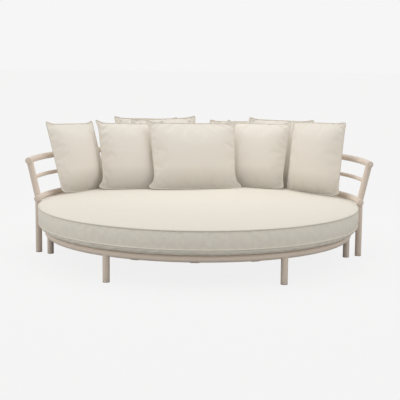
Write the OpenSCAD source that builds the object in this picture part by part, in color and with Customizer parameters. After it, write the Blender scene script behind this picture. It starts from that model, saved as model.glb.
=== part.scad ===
// Round outdoor daybed: a tubular base ring on legs, a slatted deck, a curved back frame of three rails,
// a piped round mattress and loose pillows. Millimetres. +Z is up, the back frame is at +Y, and the
// origin is on the floor under the middle of the footprint.

/* [Mattress] */
// Diameter of the mattress at its two piping lines
mattress_d = 1980; // [1920:10:2100]
// Height of the boxing between the two piping lines
boxing_h = 104; // [70:1:140]
// How far the boxing swells between its piping lines
boxing_swell = 3; // [0:0.5:6]
// Depth of the rounded underside below the lower piping
under_h = 38; // [25:1:50]
// Width over which the underside rounds in to its flat bottom
under_w = 52; // [35:1:80]
// Rise of the top panel above the upper piping
crown_h = 26; // [10:1:40]
// Fabric and fibre wadding together
wadding_t = 9; // [6:0.5:14]
// Diameter of the piping cord in its fabric
piping_d = 7; // [4:0.5:9]

/* [Base frame] */
// Outer diameter of the ring, leg, post and rail tube
tube_d = 40; // [32:1:50]
// Wall of that tube
tube_wall = 2; // [1.5:0.1:3]
// How far the mattress stands out past the base ring
mattress_overhang = 38; // [20:1:60]
// Floor to the underside of the base ring
ring_clear_h = 146; // [110:1:220]
// Angle of the front legs from the middle of the front
front_leg_angle = 32; // [25:1:40]
// Gap between a base leg and the bolted joint beside it
leg_joint_gap = 13.5; // [8:0.5:25]
// Thickness of a glide's flange under a leg
glide_t = 4; // [3:0.5:8]
// Length of a glide's plug inside the leg
glide_plug_h = 14; // [8:1:25]

/* [Slatted deck] */
// Width of a slat
slat_w = 70; // [50:1:90]
// Thickness of a slat
slat_t = 15; // [12:1:20]
// Width of a bearer
bearer_w = 50; // [30:1:60]
// Depth of a bearer
bearer_h = 30; // [20:1:35]
// Wall of the slat and bearer tubes
deck_wall = 1.5; // [1.2:0.1:2.5]
// Distance of the outer bearers from the middle
bearer_x = 330; // [250:5:370]
// Width of the ledge that carries the slat ends
ledge_w = 25; // [20:1:35]
// Thickness of the ledge
ledge_t = 4; // [3:0.5:6]

/* [Back frame] */
// Gap between the piping and the back legs
back_gap = 1.5; // [1:0.5:20]
// Height of the bottom rail's centre
low_rail_z = 345; // [335:1:400]
// Height of the top rail's centre
top_rail_z = 585; // [540:1:640]
// Outward lean of the posts
post_lean = 12.5; // [5:0.5:18]
// Outer diameter of the middle rail
mid_rail_d = 25; // [20:1:32]
// Angle of the end posts from the middle of the back
end_post_angle = 87.2; // [82:0.2:92]
// Angle of the rear posts from the middle of the back
rear_post_angle = 29; // [26:1:36]
// How far the top and bottom rails run on past the end posts
rail_overrun = 35; // [28:1:60]
// Distance from a rear post's axis to the butt joint between two lengths of a rail
rail_splice = 40; // [30:1:80]
// Rise of a rail cap's domed face
cap_dome_h = 4; // [2:0.5:6]
// Diameter of the bolts that hold the back legs to the ring
bolt_d = 8; // [6:1:10]

/* [Pillows] */
// Width of a square pillow
pillow_w = 490; // [460:5:510]
// Width of the oblong middle pillow
middle_w = 660; // [620:5:690]
// Height of a pillow, corner to corner
pillow_h = 495; // [460:5:530]
// Front swell of the pillows in the front row
swell_front = 72; // [55:1:80]
// Back swell of the two end pillows, which nothing presses on
swell_free = 86; // [60:1:95]
// Half thickness of a pillow that others press on
swell_pressed = 50; // [40:1:58]
// How far a pillow sinks where it stands on the mattress
pillow_sink = 9; // [4:1:14]

/* [Hidden] */

// Facets per turn, and one overrun for every cut
$fn = 96;
cut = 1;
// Gap between soft parts and what carries them
rest_gap = 0.3;
// Gap between parts that slide together, on each side
fit_gap = 0.2;

frame_colour = [0.79, 0.74, 0.69];
deck_colour = [0.76, 0.71, 0.66];
plastic_colour = [0.45, 0.42, 0.39];
steel_colour = [0.70, 0.70, 0.70];
fabric_colour = [0.93, 0.91, 0.87];
piping_colour = [0.88, 0.86, 0.81];
foam_colour = [0.95, 0.93, 0.80];

tube_r = tube_d / 2;
mattress_r = mattress_d / 2;
piping_r = piping_d / 2;
ring_r = mattress_r - mattress_overhang - tube_r;
ring_z = ring_clear_h + tube_r;
deck_z = ring_z + tube_r;
// Height below a tube's centre at which a tube that is notched onto it ends
notch_share = 0.4;
notch_drop = tube_r * notch_share;

slat_z = deck_z - slat_t;
bearer_z = slat_z - bearer_h;
ring_inner_r = ring_r - tube_r;
slat_count = 11;
slat_edge_share = 0.4;
// Clear length kept between the outer slat and the ring, seen along the bearers
slat_margin = 77;
slat_pitch = 2 * (ring_inner_r - slat_margin - slat_w / 2) / (slat_count - 1);

under_z = deck_z + rest_gap;
welt_low_z = under_z + under_h;
welt_top_z = welt_low_z + boxing_h;
// Shape of the crown: how flat its middle is, and how full its edge is
crown_flatness = 6;
crown_fullness = 0.6;

post_r = mattress_r + piping_r + back_gap + tube_r;
top_rail_r = post_r + (top_rail_z - low_rail_z) * tan(post_lean);
mid_rail_share = 0.54;
mid_rail_z = low_rail_z + (top_rail_z - low_rail_z) * mid_rail_share;
mid_rail_r = post_r + (mid_rail_z - low_rail_z) * tan(post_lean);
back_post_angles = [end_post_angle, rear_post_angle, -rear_post_angle, -end_post_angle];

// Sizes of a bolted joint, as shares of its bolt
spacer_share = 3;
head_d_share = 1.75;
head_h_share = 0.6;
spacer_d = bolt_d * spacer_share;
bolt_head_d = bolt_d * head_d_share;
bolt_head_h = bolt_d * head_h_share;
// A base leg stands beside each bolted joint, clear of it
leg_offset = (tube_r + spacer_d / 2 + leg_joint_gap) / ring_r * 180 / PI;
base_leg_angles = [180 - front_leg_angle, 180 + front_leg_angle, end_post_angle + leg_offset,
    -end_post_angle - leg_offset, rear_post_angle + leg_offset, -rear_post_angle - leg_offset];

// The slats end clear of the bolt heads
slat_end_gap = 3;
slat_end_r = ring_inner_r - bolt_head_h - slat_end_gap;

// The footprint runs from the front of the mattress to the rear pillows, whose tops lean out past the rail
pillow_overhang = 17;
centre_y = (mattress_r + piping_r - top_rail_r - tube_r - pillow_overhang) / 2;

module on_footprint() { translate([0, centre_y, 0]) children(); }

// Turns a child that lies along +Y out from the ring's axis to an angle from the middle of the back
module at_angle(a, r = 0, z = 0) { rotate([0, 0, a]) translate([0, r, z]) children(); }

// Part of a turn about the ring's axis, centred on the middle of the back
module arc_about_back(a_from, a_to) {
    rotate([0, 0, 90 + a_from]) rotate_extrude(angle = a_to - a_from, $fn = 192) children();
}

module hoop(r, z, wire_r) { rotate_extrude($fn = 192) translate([r, z]) circle(r = wire_r, $fn = 48); }

// The outline starts at its top, so that no bolt hole crosses its seam
module tube_outline(r) {
    rotate(90) difference() {
        circle(r = r, $fn = 48);
        circle(r = r - tube_wall, $fn = 48);
    }
}

// Base frame
module base_ring() {
    color(frame_colour) on_footprint() difference() {
        rotate_extrude($fn = 192) translate([ring_r, ring_z]) tube_outline(tube_r);
        for (a = back_post_angles) at_angle(a, ring_inner_r - cut, ring_z)
            rotate([-90, 0, 0]) cylinder(d = bolt_d + 2 * fit_gap, h = tube_d + 2 * cut);
    }
}

module base_leg(a) {
    color(frame_colour) on_footprint() at_angle(a) difference() {
        translate([0, ring_r, glide_t]) difference() {
            cylinder(r = tube_r, h = ring_z - notch_drop - glide_t);
            translate([0, 0, -cut]) cylinder(r = tube_r - tube_wall, h = ring_z + cut);
        }
        hoop(ring_r, ring_z, tube_r);
    }
}

// A tube of rectangular section with rounded edges, along +X, centred
module deck_tube(length, w, t, edge_r) {
    module outline(w, t, edge_r) {
        square([w - 2 * edge_r, t], center = true);
        square([w, t - 2 * edge_r], center = true);
        for (x = [-1, 1], y = [-1, 1]) translate([x * (w / 2 - edge_r), y * (t / 2 - edge_r)])
            circle(r = edge_r, $fn = 24);
    }
    rotate([90, 0, 90]) translate([0, 0, -length / 2]) difference() {
        linear_extrude(length) outline(w, t, edge_r);
        translate([0, 0, -cut]) linear_extrude(length + 2 * cut)
            outline(w - 2 * deck_wall, t - 2 * deck_wall, edge_r - deck_wall);
    }
}

module bearer(x) {
    bearer_edge_r = 4;
    color(deck_colour) on_footprint() difference() {
        translate([x, 0, bearer_z + bearer_h / 2]) rotate([0, 0, 90])
            deck_tube(2 * ring_r, bearer_w, bearer_h, bearer_edge_r);
        // The ends follow the inner side of the ring
        difference() {
            translate([0, 0, bearer_z - cut]) cylinder(r = 2 * ring_r, h = bearer_h + 2 * cut);
            translate([0, 0, bearer_z - 2 * cut]) cylinder(r = ring_r - notch_drop, h = bearer_h + 4 * cut);
        }
        hoop(ring_r, ring_z, tube_r);
    }
}

module deck_ledge() {
    color(deck_colour) on_footprint() difference() {
        rotate_extrude($fn = 192) translate([ring_inner_r - ledge_w, slat_z - ledge_t])
            square([ledge_w, ledge_t]);
        for (x = [-bearer_x, 0, bearer_x]) translate([x, 0, slat_z - ledge_t / 2])
            cube([bearer_w, 2 * ring_r, ledge_t + 2 * cut], center = true);
        // Way in for the bolts
        for (a = back_post_angles) at_angle(a, ring_inner_r - ledge_w - cut, ring_z)
            rotate([-90, 0, 0]) cylinder(d = bolt_head_d + 2 * cut, h = ledge_w + cut + tube_wall);
    }
}

module slat(i) {
    y = (i - (slat_count + 1) / 2) * slat_pitch;
    color(deck_colour) on_footprint() intersection() {
        translate([0, y, slat_z + slat_t / 2])
            deck_tube(2 * ring_r, slat_w, slat_t, slat_t * slat_edge_share);
        translate([0, 0, slat_z - cut]) cylinder(r = slat_end_r, h = slat_t + 2 * cut, $fn = 192);
    }
}

// Back frame
module back_leg(a) {
    color(frame_colour) on_footprint() at_angle(a) difference() {
        translate([0, post_r, glide_t]) difference() {
            cylinder(r = tube_r, h = low_rail_z - notch_drop - glide_t);
            translate([0, 0, -cut]) cylinder(r = tube_r - tube_wall, h = low_rail_z + cut);
        }
        hoop(post_r, low_rail_z, tube_r);
        // Hole for the bolt, through the inner wall only
        translate([0, post_r - tube_d, ring_z]) rotate([-90, 0, 0])
            cylinder(d = bolt_d + 2 * fit_gap, h = tube_d);
    }
}

// Along a post's axis, in the frame that at_angle gives
module post_axis() {
    translate([0, post_r, low_rail_z]) rotate([-post_lean, 0, 0]) children();
}

module back_post(a) {
    post_length = (top_rail_z - low_rail_z) / cos(post_lean);
    color(frame_colour) on_footprint() at_angle(a) difference() {
        post_axis() translate([0, 0, notch_drop]) difference() {
            cylinder(r = tube_r, h = post_length - 2 * notch_drop);
            translate([0, 0, -cut]) cylinder(r = tube_r - tube_wall, h = post_length);
        }
        hoop(post_r, low_rail_z, tube_r);
        hoop(top_rail_r, top_rail_z, tube_r);
    }
}

// The angle by which the top and bottom rails run past the end posts' axes
function overrun_angle(r) = rail_overrun / r * 180 / PI;

// The top and bottom rails are bent in three lengths each, which meet a little past the rear posts
function splice_angle(r) = rear_post_angle + rail_splice / r * 180 / PI;

module rail_length(r, z, a_from, a_to) {
    color(frame_colour) on_footprint() arc_about_back(a_from, a_to) translate([r, z]) tube_outline(tube_r);
}

module left_rail(r, z) { rail_length(r, z, splice_angle(r), end_post_angle + overrun_angle(r)); }

module rear_rail(r, z) { rail_length(r, z, -splice_angle(r), splice_angle(r)); }

module right_rail(r, z) { rail_length(r, z, -end_post_angle - overrun_angle(r), -splice_angle(r)); }

module middle_rail(a_from, a_to) {
    color(frame_colour) on_footprint() difference() {
        arc_about_back(a_from, a_to) translate([mid_rail_r, mid_rail_z]) tube_outline(mid_rail_d / 2);
        for (a = [a_from, a_to]) at_angle(a) post_axis() cylinder(r = tube_r, h = top_rail_z - low_rail_z);
    }
}

// A domed cap with its plug, facing +Z
module rail_cap() {
    flange_h = 2;
    plug_h = 12;
    dome_r = (pow(tube_r, 2) + pow(cap_dome_h, 2)) / (2 * cap_dome_h);
    translate([0, 0, -plug_h]) cylinder(r = tube_r - tube_wall - fit_gap, h = plug_h);
    cylinder(r = tube_r, h = flange_h);
    intersection() {
        translate([0, 0, flange_h + cap_dome_h - dome_r]) sphere(r = dome_r, $fn = 192);
        cylinder(r = tube_r, h = flange_h + cap_dome_h + cut);
    }
}

module rail_caps() {
    color(frame_colour) on_footprint() for (side = [-1, 1], p = [[post_r, low_rail_z], [top_rail_r, top_rail_z]])
        at_angle(side * (end_post_angle + overrun_angle(p[0])), p[0], p[1])
            rotate([0, -side * 90, 0]) rail_cap();
}

module leg_glides() {
    places = concat([for (a = base_leg_angles) [a, ring_r]], [for (a = back_post_angles) [a, post_r]]);
    color(plastic_colour) on_footprint() for (p = places) at_angle(p[0], p[1]) {
        cylinder(r = tube_r, h = glide_t);
        cylinder(r = tube_r - tube_wall - fit_gap, h = glide_t + glide_plug_h);
    }
}

module back_spacers() {
    color(frame_colour) on_footprint() for (a = back_post_angles) at_angle(a) difference() {
        translate([0, ring_r, ring_z]) rotate([-90, 0, 0]) difference() {
            cylinder(d = spacer_d, h = post_r - ring_r);
            translate([0, 0, -cut]) cylinder(d = bolt_d + 2 * fit_gap, h = post_r - ring_r + 2 * cut);
        }
        hoop(ring_r, ring_z, tube_r);
        translate([0, post_r, 0]) cylinder(r = tube_r, h = low_rail_z);
    }
}

module back_bolts() {
    // The bolt ends inside the back leg, past its inner wall
    bolt_end_r = post_r - tube_r + tube_wall + bolt_d;
    color(steel_colour) on_footprint() for (a = back_post_angles)
        at_angle(a, ring_inner_r - rest_gap - bolt_head_h, ring_z) rotate([-90, 0, 0]) {
            cylinder(d = bolt_head_d, h = bolt_head_h);
            cylinder(d = bolt_d, h = bolt_end_r - ring_inner_r + bolt_head_h);
        }
}

// Mattress. Its outline on one side of the axis, drawn in all round by an inset
function crown_z(r) = welt_top_z + crown_h * pow(1 - pow(min(1, r / mattress_r), crown_flatness), crown_fullness);

module mattress_outline(inset) {
    step = 6;
    under = [for (t = [0:step:90]) [mattress_r - under_w + (under_w - inset) * sin(t), welt_low_z - (under_h - inset) * cos(t)]];
    boxing = [for (t = [step:step:180 - step]) [mattress_r - inset + boxing_swell * sin(t),
        welt_low_z + (boxing_h - inset) * t / 180]];
    // Places on the crown are closer together near the edge, where it turns down
    crown = [for (t = [0:step:90]) let (share = pow(cos(t), 2 / crown_flatness))
        [(mattress_r - inset) * share, crown_z(mattress_r * share) - inset]];
    polygon(concat([[0, under_z + inset]], under, boxing, crown));
}

module mattress_solid(inset) { rotate_extrude($fn = 192) mattress_outline(inset); }

module mattress_cover() {
    color(fabric_colour) on_footprint() difference() {
        mattress_solid(0);
        mattress_solid(wadding_t);
        for (z = [welt_low_z, welt_top_z]) hoop(mattress_r, z, piping_r + rest_gap);
    }
}

module mattress_foam() { color(foam_colour) on_footprint() mattress_solid(wadding_t + rest_gap); }

module mattress_piping(z) { color(piping_colour) on_footprint() hoop(mattress_r, z, piping_r); }

// Pillows. Each stands on the mattress and leans back: its place is an arc along the top rail and a
// distance in from it, at the top rail's height
row_r = top_rail_r - tube_r;
// The middle pillow's centre lies this far to the left of the middle of the back
middle_shift = 82;
pillow_steps = 12;
pillow_rim_t = 5;
// Gap to the mattress where a pillow is pressed flat on it
pillow_gap = 0.5;
// How far a pillow's sides and top are drawn in between its corners, and how far its base sags
side_draw_share = 0.06;
top_draw_share = 0.04;
base_sag_share = 0.05;
// How square the drawn-in sides are: they flare out only near the corners
flare_power = 4;
pillow_fullness = 0.75;

// Which swells a pillow has: at an end of the row, in front of others, or behind others
END = 0;
FRONT = 1;
REAR = 2;
// Side of the middle pillow (0 is the middle one); its arc past the middle pillow's edge, in pillow widths;
// its distance in from the rail, in pressed, front and free swells; its height and its front and back
// swells, of the nominal ones; kind; then turn, lean and roll in degrees
end_left_shares = [1, 1.424, [0, 0, 1.22], [0.98, 1.04, 1], END, [-1.6, 18.6, -2.5]];
front_left_shares = [1, 0.617, [4.67, 1, 0], [0.99, 0.97, 1.04], FRONT, [-21.9, 22.2, -1.3]];
middle_shares = [0, 0, [6.24, 2, 0], [0.985, 1, 1], FRONT, [10.7, 20.7, -1.1]];
front_right_shares = [-1, 0.527, [3.31, 1, 0], [0.98, 0.97, 1.04], FRONT, [5.4, 20.2, 0.6]];
end_right_shares = [-1, 1.769, [1.2, 0, 1.29], [0.97, 1.04, 1], END, [11.1, 8, 2]];
rear_left_shares = [1, -0.006, [1.42, 0, 0], [1.01, 1, 1], REAR, [0.2, 21.6, -1.8]];
rear_centre_left_shares = [1, -0.24, [3.9, 0, 0], [1.02, 0.9, 0.9], REAR, [1.4, 23.4, 1.7]];
rear_centre_right_shares = [-1, 0.083, [1.16, 0, 0], [0.98, 0.84, 0.72], REAR, [0.1, 22.5, 1.4]];
rear_right_shares = [-1, 0.775, [2.18, 0, 0], [1.01, 1, 1], REAR, [13.7, 20.1, -0.6]];

function fullness(a, b) = pow(max(0, 1 - a * a) * max(0, 1 - b * b), pillow_fullness / 2);
function pillow_u(a, b, w) = a * w / 2 * (1 - side_draw_share * (1 - pow(b, flare_power)));
function pillow_v(a, b, h) = b * h / 2 *
    (b > 0 ? 1 - top_draw_share * (1 - pow(a, flare_power)) : 1 + base_sag_share * (1 - a * a));
function pillow_half_t(a, b, swell) = pillow_rim_t / 2 + (swell - pillow_rim_t / 2) * fullness(a, b);

// Slides a pillow's centre along its own height until its lowest point is sunk in the mattress
function settled(centre, up, points, tries) = tries == 0 ? centre :
    let (least = min([for (p = points) let (q = p + centre) q[2] - crown_z(norm([q[0], q[1]]))]))
    settled(centre + up * ((-pillow_sink - least) / up[2]), up, points, tries - 1);

module pillow(shares) {
    side = shares[0];
    kind = shares[4];
    turn = shares[5][0];
    lean = shares[5][1];
    roll = shares[5][2];
    w = side == 0 ? middle_w : pillow_w;
    h = pillow_h * shares[3][0];
    front = (kind == REAR ? swell_pressed : swell_front) * shares[3][1];
    back = (kind == END ? swell_free : swell_pressed) * shares[3][2];
    arc = middle_shift + side * (middle_w / 2 + pillow_w * shares[1]);
    angle = arc / row_r * 180 / PI;
    inset = shares[2] * [swell_pressed, swell_front, swell_free];
    yaw = angle + turn;
    level = [cos(yaw), sin(yaw), 0];
    rearward = [-sin(yaw), cos(yaw), 0];
    rise = [0, 0, 1] * cos(lean) + rearward * sin(lean);
    thick = rearward * cos(lean) - [0, 0, 1] * sin(lean);
    wide = level * cos(roll) + rise * sin(roll);
    up = rise * cos(roll) - level * sin(roll);
    n = pillow_steps;
    marks = [for (i = [0:n]) sin(180 * i / n - 90)];
    shape = [for (swell = [-front, back], a = marks, b = marks)
        wide * pillow_u(a, b, w) + up * pillow_v(a, b, h) + thick * sign(swell) * pillow_half_t(a, b, abs(swell))];
    at_rail = [-sin(angle) * (row_r - inset), cos(angle) * (row_r - inset), top_rail_z];
    centre = settled(at_rail, up, shape, 4);
    points = [for (p = shape) let (q = p + centre) [q[0], q[1], max(q[2], crown_z(norm([q[0], q[1]])) + pillow_gap)]];
    function at(side, i, j) = (side * (n + 1) + i) * (n + 1) + j;
    panels = [for (i = [0:n - 1], j = [0:n - 1], side = [0, 1]) let (
        a = at(side, i, j), b = at(side, i, j + 1), c = at(side, i + 1, j + 1), d = at(side, i + 1, j))
        each side == 0 ? [[a, b, c], [a, c, d]] : [[a, c, b], [a, d, c]]];
    // The rim runs once round from the lower left corner, up the left side
    around = concat([for (j = [0:n - 1]) [0, j]], [for (i = [0:n - 1]) [i, n]],
        [for (j = [n:-1:1]) [n, j]], [for (i = [n:-1:1]) [i, 0]]);
    rim = [for (k = [0:4 * n - 1]) let (p = around[k], q = around[(k + 1) % (4 * n)],
        a = at(0, p[0], p[1]), b = at(0, q[0], q[1]), c = at(1, q[0], q[1]), d = at(1, p[0], p[1]))
        each [[b, a, d], [b, d, c]]];
    color(fabric_colour) on_footprint() polyhedron(points, concat(panels, rim));
}

base_ring();
deck_ledge();
bearer(-bearer_x);  // bearer_left
bearer(0);  // bearer_middle
bearer(bearer_x);  // bearer_right
base_leg(base_leg_angles[0]);  // leg_front_left
base_leg(base_leg_angles[1]);  // leg_front_right
base_leg(base_leg_angles[2]);  // leg_side_left
base_leg(base_leg_angles[3]);  // leg_side_right
base_leg(base_leg_angles[4]);  // leg_rear_left
base_leg(base_leg_angles[5]);  // leg_rear_right
slat(1);  // slat_01
slat(2);  // slat_02
slat(3);  // slat_03
slat(4);  // slat_04
slat(5);  // slat_05
slat(6);  // slat_06
slat(7);  // slat_07
slat(8);  // slat_08
slat(9);  // slat_09
slat(10);  // slat_10
slat(11);  // slat_11
back_leg(end_post_angle);  // back_leg_left
back_leg(rear_post_angle);  // back_leg_rear_left
back_leg(-rear_post_angle);  // back_leg_rear_right
back_leg(-end_post_angle);  // back_leg_right
back_post(end_post_angle);  // back_post_left
back_post(rear_post_angle);  // back_post_rear_left
back_post(-rear_post_angle);  // back_post_rear_right
back_post(-end_post_angle);  // back_post_right
left_rail(post_r, low_rail_z);  // rail_bottom_left
rear_rail(post_r, low_rail_z);  // rail_bottom_rear
right_rail(post_r, low_rail_z);  // rail_bottom_right
middle_rail(rear_post_angle, end_post_angle);  // rail_middle_left
middle_rail(-rear_post_angle, rear_post_angle);  // rail_middle_rear
middle_rail(-end_post_angle, -rear_post_angle);  // rail_middle_right
left_rail(top_rail_r, top_rail_z);  // rail_top_left
rear_rail(top_rail_r, top_rail_z);  // rail_top_rear
right_rail(top_rail_r, top_rail_z);  // rail_top_right
rail_caps();
leg_glides();
back_spacers();
back_bolts();
mattress_cover();
mattress_foam();
mattress_piping(welt_top_z);  // mattress_piping_top
mattress_piping(welt_low_z);  // mattress_piping_bottom
pillow(end_left_shares);  // pillow_end_left
pillow(front_left_shares);  // pillow_front_left
pillow(middle_shares);  // pillow_middle
pillow(front_right_shares);  // pillow_front_right
pillow(end_right_shares);  // pillow_end_right
pillow(rear_left_shares);  // pillow_rear_left
pillow(rear_centre_left_shares);  // pillow_rear_centre_left
pillow(rear_centre_right_shares);  // pillow_rear_centre_right
pillow(rear_right_shares);  // pillow_rear_right
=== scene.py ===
"""Round outdoor daybed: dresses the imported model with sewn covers, piping, powder coat and studio light.

Sizes are in metres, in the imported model's own frame: the floor is at z = 0, the back frame is at +Y, and the
ring, the mattress and the rails turn about an axis a little in front of the origin.
"""

from __future__ import annotations

import logging
import math
from dataclasses import dataclass, field
from enum import Enum
from typing import Any, Iterable, Mapping, Sequence

import bpy
import numpy as np
from mathutils import Matrix, Vector

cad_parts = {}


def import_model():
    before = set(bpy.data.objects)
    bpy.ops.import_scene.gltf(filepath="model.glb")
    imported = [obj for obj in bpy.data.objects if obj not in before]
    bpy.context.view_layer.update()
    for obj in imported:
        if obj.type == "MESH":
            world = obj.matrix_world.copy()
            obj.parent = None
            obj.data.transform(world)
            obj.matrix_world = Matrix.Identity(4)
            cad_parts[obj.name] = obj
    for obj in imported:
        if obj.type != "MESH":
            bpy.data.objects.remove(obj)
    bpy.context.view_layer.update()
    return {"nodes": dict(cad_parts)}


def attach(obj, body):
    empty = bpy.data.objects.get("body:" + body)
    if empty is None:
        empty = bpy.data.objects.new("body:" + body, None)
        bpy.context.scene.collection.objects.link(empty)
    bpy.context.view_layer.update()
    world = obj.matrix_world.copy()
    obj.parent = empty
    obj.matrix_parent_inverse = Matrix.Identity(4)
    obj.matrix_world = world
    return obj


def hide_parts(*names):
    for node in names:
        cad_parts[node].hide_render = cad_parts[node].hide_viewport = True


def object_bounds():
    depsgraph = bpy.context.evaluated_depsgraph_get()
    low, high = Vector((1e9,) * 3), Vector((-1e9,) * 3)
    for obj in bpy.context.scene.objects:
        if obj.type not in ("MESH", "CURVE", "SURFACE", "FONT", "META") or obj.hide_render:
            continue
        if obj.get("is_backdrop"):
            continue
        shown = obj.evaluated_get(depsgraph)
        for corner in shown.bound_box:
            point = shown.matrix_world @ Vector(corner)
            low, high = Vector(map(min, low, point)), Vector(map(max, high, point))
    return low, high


log = logging.getLogger("daybed")

Points = np.ndarray
Colour = tuple[float, float, float]

UP = np.array([0.0, 0.0, 1.0])


def paint(red: int, green: int, blue: int) -> Colour:
    """Turns a colour as a picture stores it into the linear one that shaders take.

    Args:
        red: Red, 0 to 255.
        green: Green, 0 to 255.
        blue: Blue, 0 to 255.

    Returns:
        The three linear values.
    """
    shares = [v / 255 for v in (red, green, blue)]
    return tuple(s / 12.92 if s <= 0.04045 else ((s + 0.055) / 1.055) ** 2.4 for s in shares)


def shade(colour: Colour, share: float) -> Colour:
    """Returns a colour made darker or lighter by one factor."""
    return tuple(min(1.0, c * share) for c in colour)


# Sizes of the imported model


@dataclass(frozen=True)
class Plan:
    """Sizes of the daybed that its soft and small pieces are built from."""

    centre_y: float = -0.055853
    mattress_r: float = 0.990
    boxing_h: float = 0.104
    boxing_swell: float = 0.003
    under_h: float = 0.038
    under_w: float = 0.052
    crown_h: float = 0.026
    crown_flatness: float = 6.0
    crown_fullness: float = 0.6
    piping_r: float = 0.0035
    under_z: float = 0.1863
    tube_r: float = 0.020
    ring_r: float = 0.932
    ring_z: float = 0.166
    notch_drop: float = 0.008
    post_r: float = 1.015
    low_rail_z: float = 0.345
    top_rail_z: float = 0.585
    post_lean: float = 12.5
    end_post_angle: float = 87.2
    rear_post_angle: float = 29.0
    front_leg_angle: float = 32.0
    leg_offset: float = 2.797
    bolt_r: float = 0.004
    bolt_head_r: float = 0.007
    bolt_head_h: float = 0.0048
    bolt_head_at: float = 0.9069
    bolt_end_at: float = 1.005
    pillow_w: float = 0.490
    middle_w: float = 0.660
    pillow_h: float = 0.495
    swell_front: float = 0.072
    swell_free: float = 0.086
    swell_pressed: float = 0.050
    pillow_sink: float = 0.009
    pillow_rim_t: float = 0.005
    pillow_steps: int = 12
    middle_shift: float = 0.082
    pillow_fullness: float = 0.75
    side_draw: float = 0.06
    top_draw: float = 0.04
    base_sag: float = 0.05
    flare_power: float = 4.0

    @property
    def welt_low_z(self) -> float:
        """Height of the lower piping's centre."""
        return self.under_z + self.under_h

    @property
    def welt_top_z(self) -> float:
        """Height of the upper piping's centre."""
        return self.welt_low_z + self.boxing_h

    @property
    def top_rail_r(self) -> float:
        """Radius of the top rail's centre line."""
        return self.post_r + (self.top_rail_z - self.low_rail_z) * math.tan(math.radians(self.post_lean))

    @property
    def row_r(self) -> float:
        """Radius of the line that the pillows are placed from."""
        return self.top_rail_r - self.tube_r

    @property
    def post_angles(self) -> tuple[float, ...]:
        """Angles of the four posts from the middle of the back, in degrees."""
        return self.end_post_angle, self.rear_post_angle, -self.rear_post_angle, -self.end_post_angle

    def crown(self, radius: Points) -> Points:
        """Returns the height of the mattress's top at each radius."""
        share = np.minimum(np.asarray(radius, float) / self.mattress_r, 1.0)
        return self.welt_top_z + self.crown_h * (1 - share**self.crown_flatness) ** self.crown_fullness

    def radius(self, points: Points) -> Points:
        """Returns each point's distance from the ring's axis."""
        return np.hypot(points[..., 0], points[..., 1] - self.centre_y)

    def at(self, angle: float, radius: float, height: float) -> Points:
        """Returns the point at an angle in degrees from the middle of the back, a radius and a height."""
        turn = math.radians(angle)
        return np.array([-math.sin(turn) * radius, math.cos(turn) * radius + self.centre_y, height])

    def outward(self, angle: float) -> Points:
        """Returns the level direction away from the axis at an angle in degrees."""
        return self.at(angle, 1.0, 0.0) - self.at(angle, 0.0, 0.0)


PLAN = Plan()


# Meshes and waves


def lay_mesh(name: str, points: Points, faces: Sequence[Sequence[int]], smooth: bool = True) -> bpy.types.Object:
    """Makes an object at the origin from points and faces.

    Args:
        name: Name of the object and its mesh.
        points: One row of three numbers for each point.
        faces: Point numbers of each face, counterclockwise from outside; none for a bare path.
        smooth: Whether the faces are shaded smooth.

    Returns:
        The new object, linked to the scene.
    """
    mesh = bpy.data.meshes.new(name)
    mesh.from_pydata(np.asarray(points, float).tolist(), [], [list(f) for f in faces])
    if smooth:
        mesh.polygons.foreach_set("use_smooth", [True] * len(mesh.polygons))
    mesh.update()
    made = bpy.data.objects.new(name, mesh)
    bpy.context.scene.collection.objects.link(made)
    return made


def lay_path(name: str, runs: Iterable[Points], closed: bool) -> bpy.types.Object:
    """Makes an object of bare edges along one or more runs of points."""
    points: list[Points] = []
    edges: list[tuple[int, int]] = []
    for run in runs:
        start = sum(len(p) for p in points)
        count = len(run)
        edges += [(start + k, start + (k + 1) % count) for k in range(count if closed else count - 1)]
        points.append(np.asarray(run, float))
    mesh = bpy.data.meshes.new(name)
    mesh.from_pydata(np.concatenate(points).tolist(), edges, [])
    made = bpy.data.objects.new(name, mesh)
    bpy.context.scene.collection.objects.link(made)
    return made


def map_cloth(made: bpy.types.Object, places: Points) -> None:
    """Gives each face corner its place on the cloth, in metres, as the map that weaves follow.

    Args:
        made: The object whose mesh takes the map.
        places: Two numbers for each face corner, in the mesh's own order.
    """
    layer = made.data.uv_layers.new(name="cloth")
    layer.data.foreach_set("uv", np.asarray(places, np.float32).ravel())


class Waves:
    """Smooth chance unevenness over a plane: a few waves of seeded heading and phase."""

    def __init__(self, seed: int, wavelength: float, count: int = 14) -> None:
        """Draws the waves.

        Args:
            seed: Fixed seed of this surface.
            wavelength: Mean length of a wave, in the plane's units.
            count: How many waves are added up.
        """
        chance = np.random.default_rng(seed)
        heading = chance.uniform(0, 2 * math.pi, count)
        length = wavelength * chance.uniform(0.7, 1.6, count)
        self.pull = np.stack([np.cos(heading), np.sin(heading)], 1) * (2 * math.pi / length)[:, None]
        self.phase = chance.uniform(0, 2 * math.pi, count)

    def at(self, u: Points, v: Points) -> Points:
        """Returns the unevenness, mostly within -1 to 1, at each place."""
        turn = u[..., None] * self.pull[:, 0] + v[..., None] * self.pull[:, 1] + self.phase
        return np.cos(turn).sum(-1) / math.sqrt(len(self.phase))


# Node trees


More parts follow.
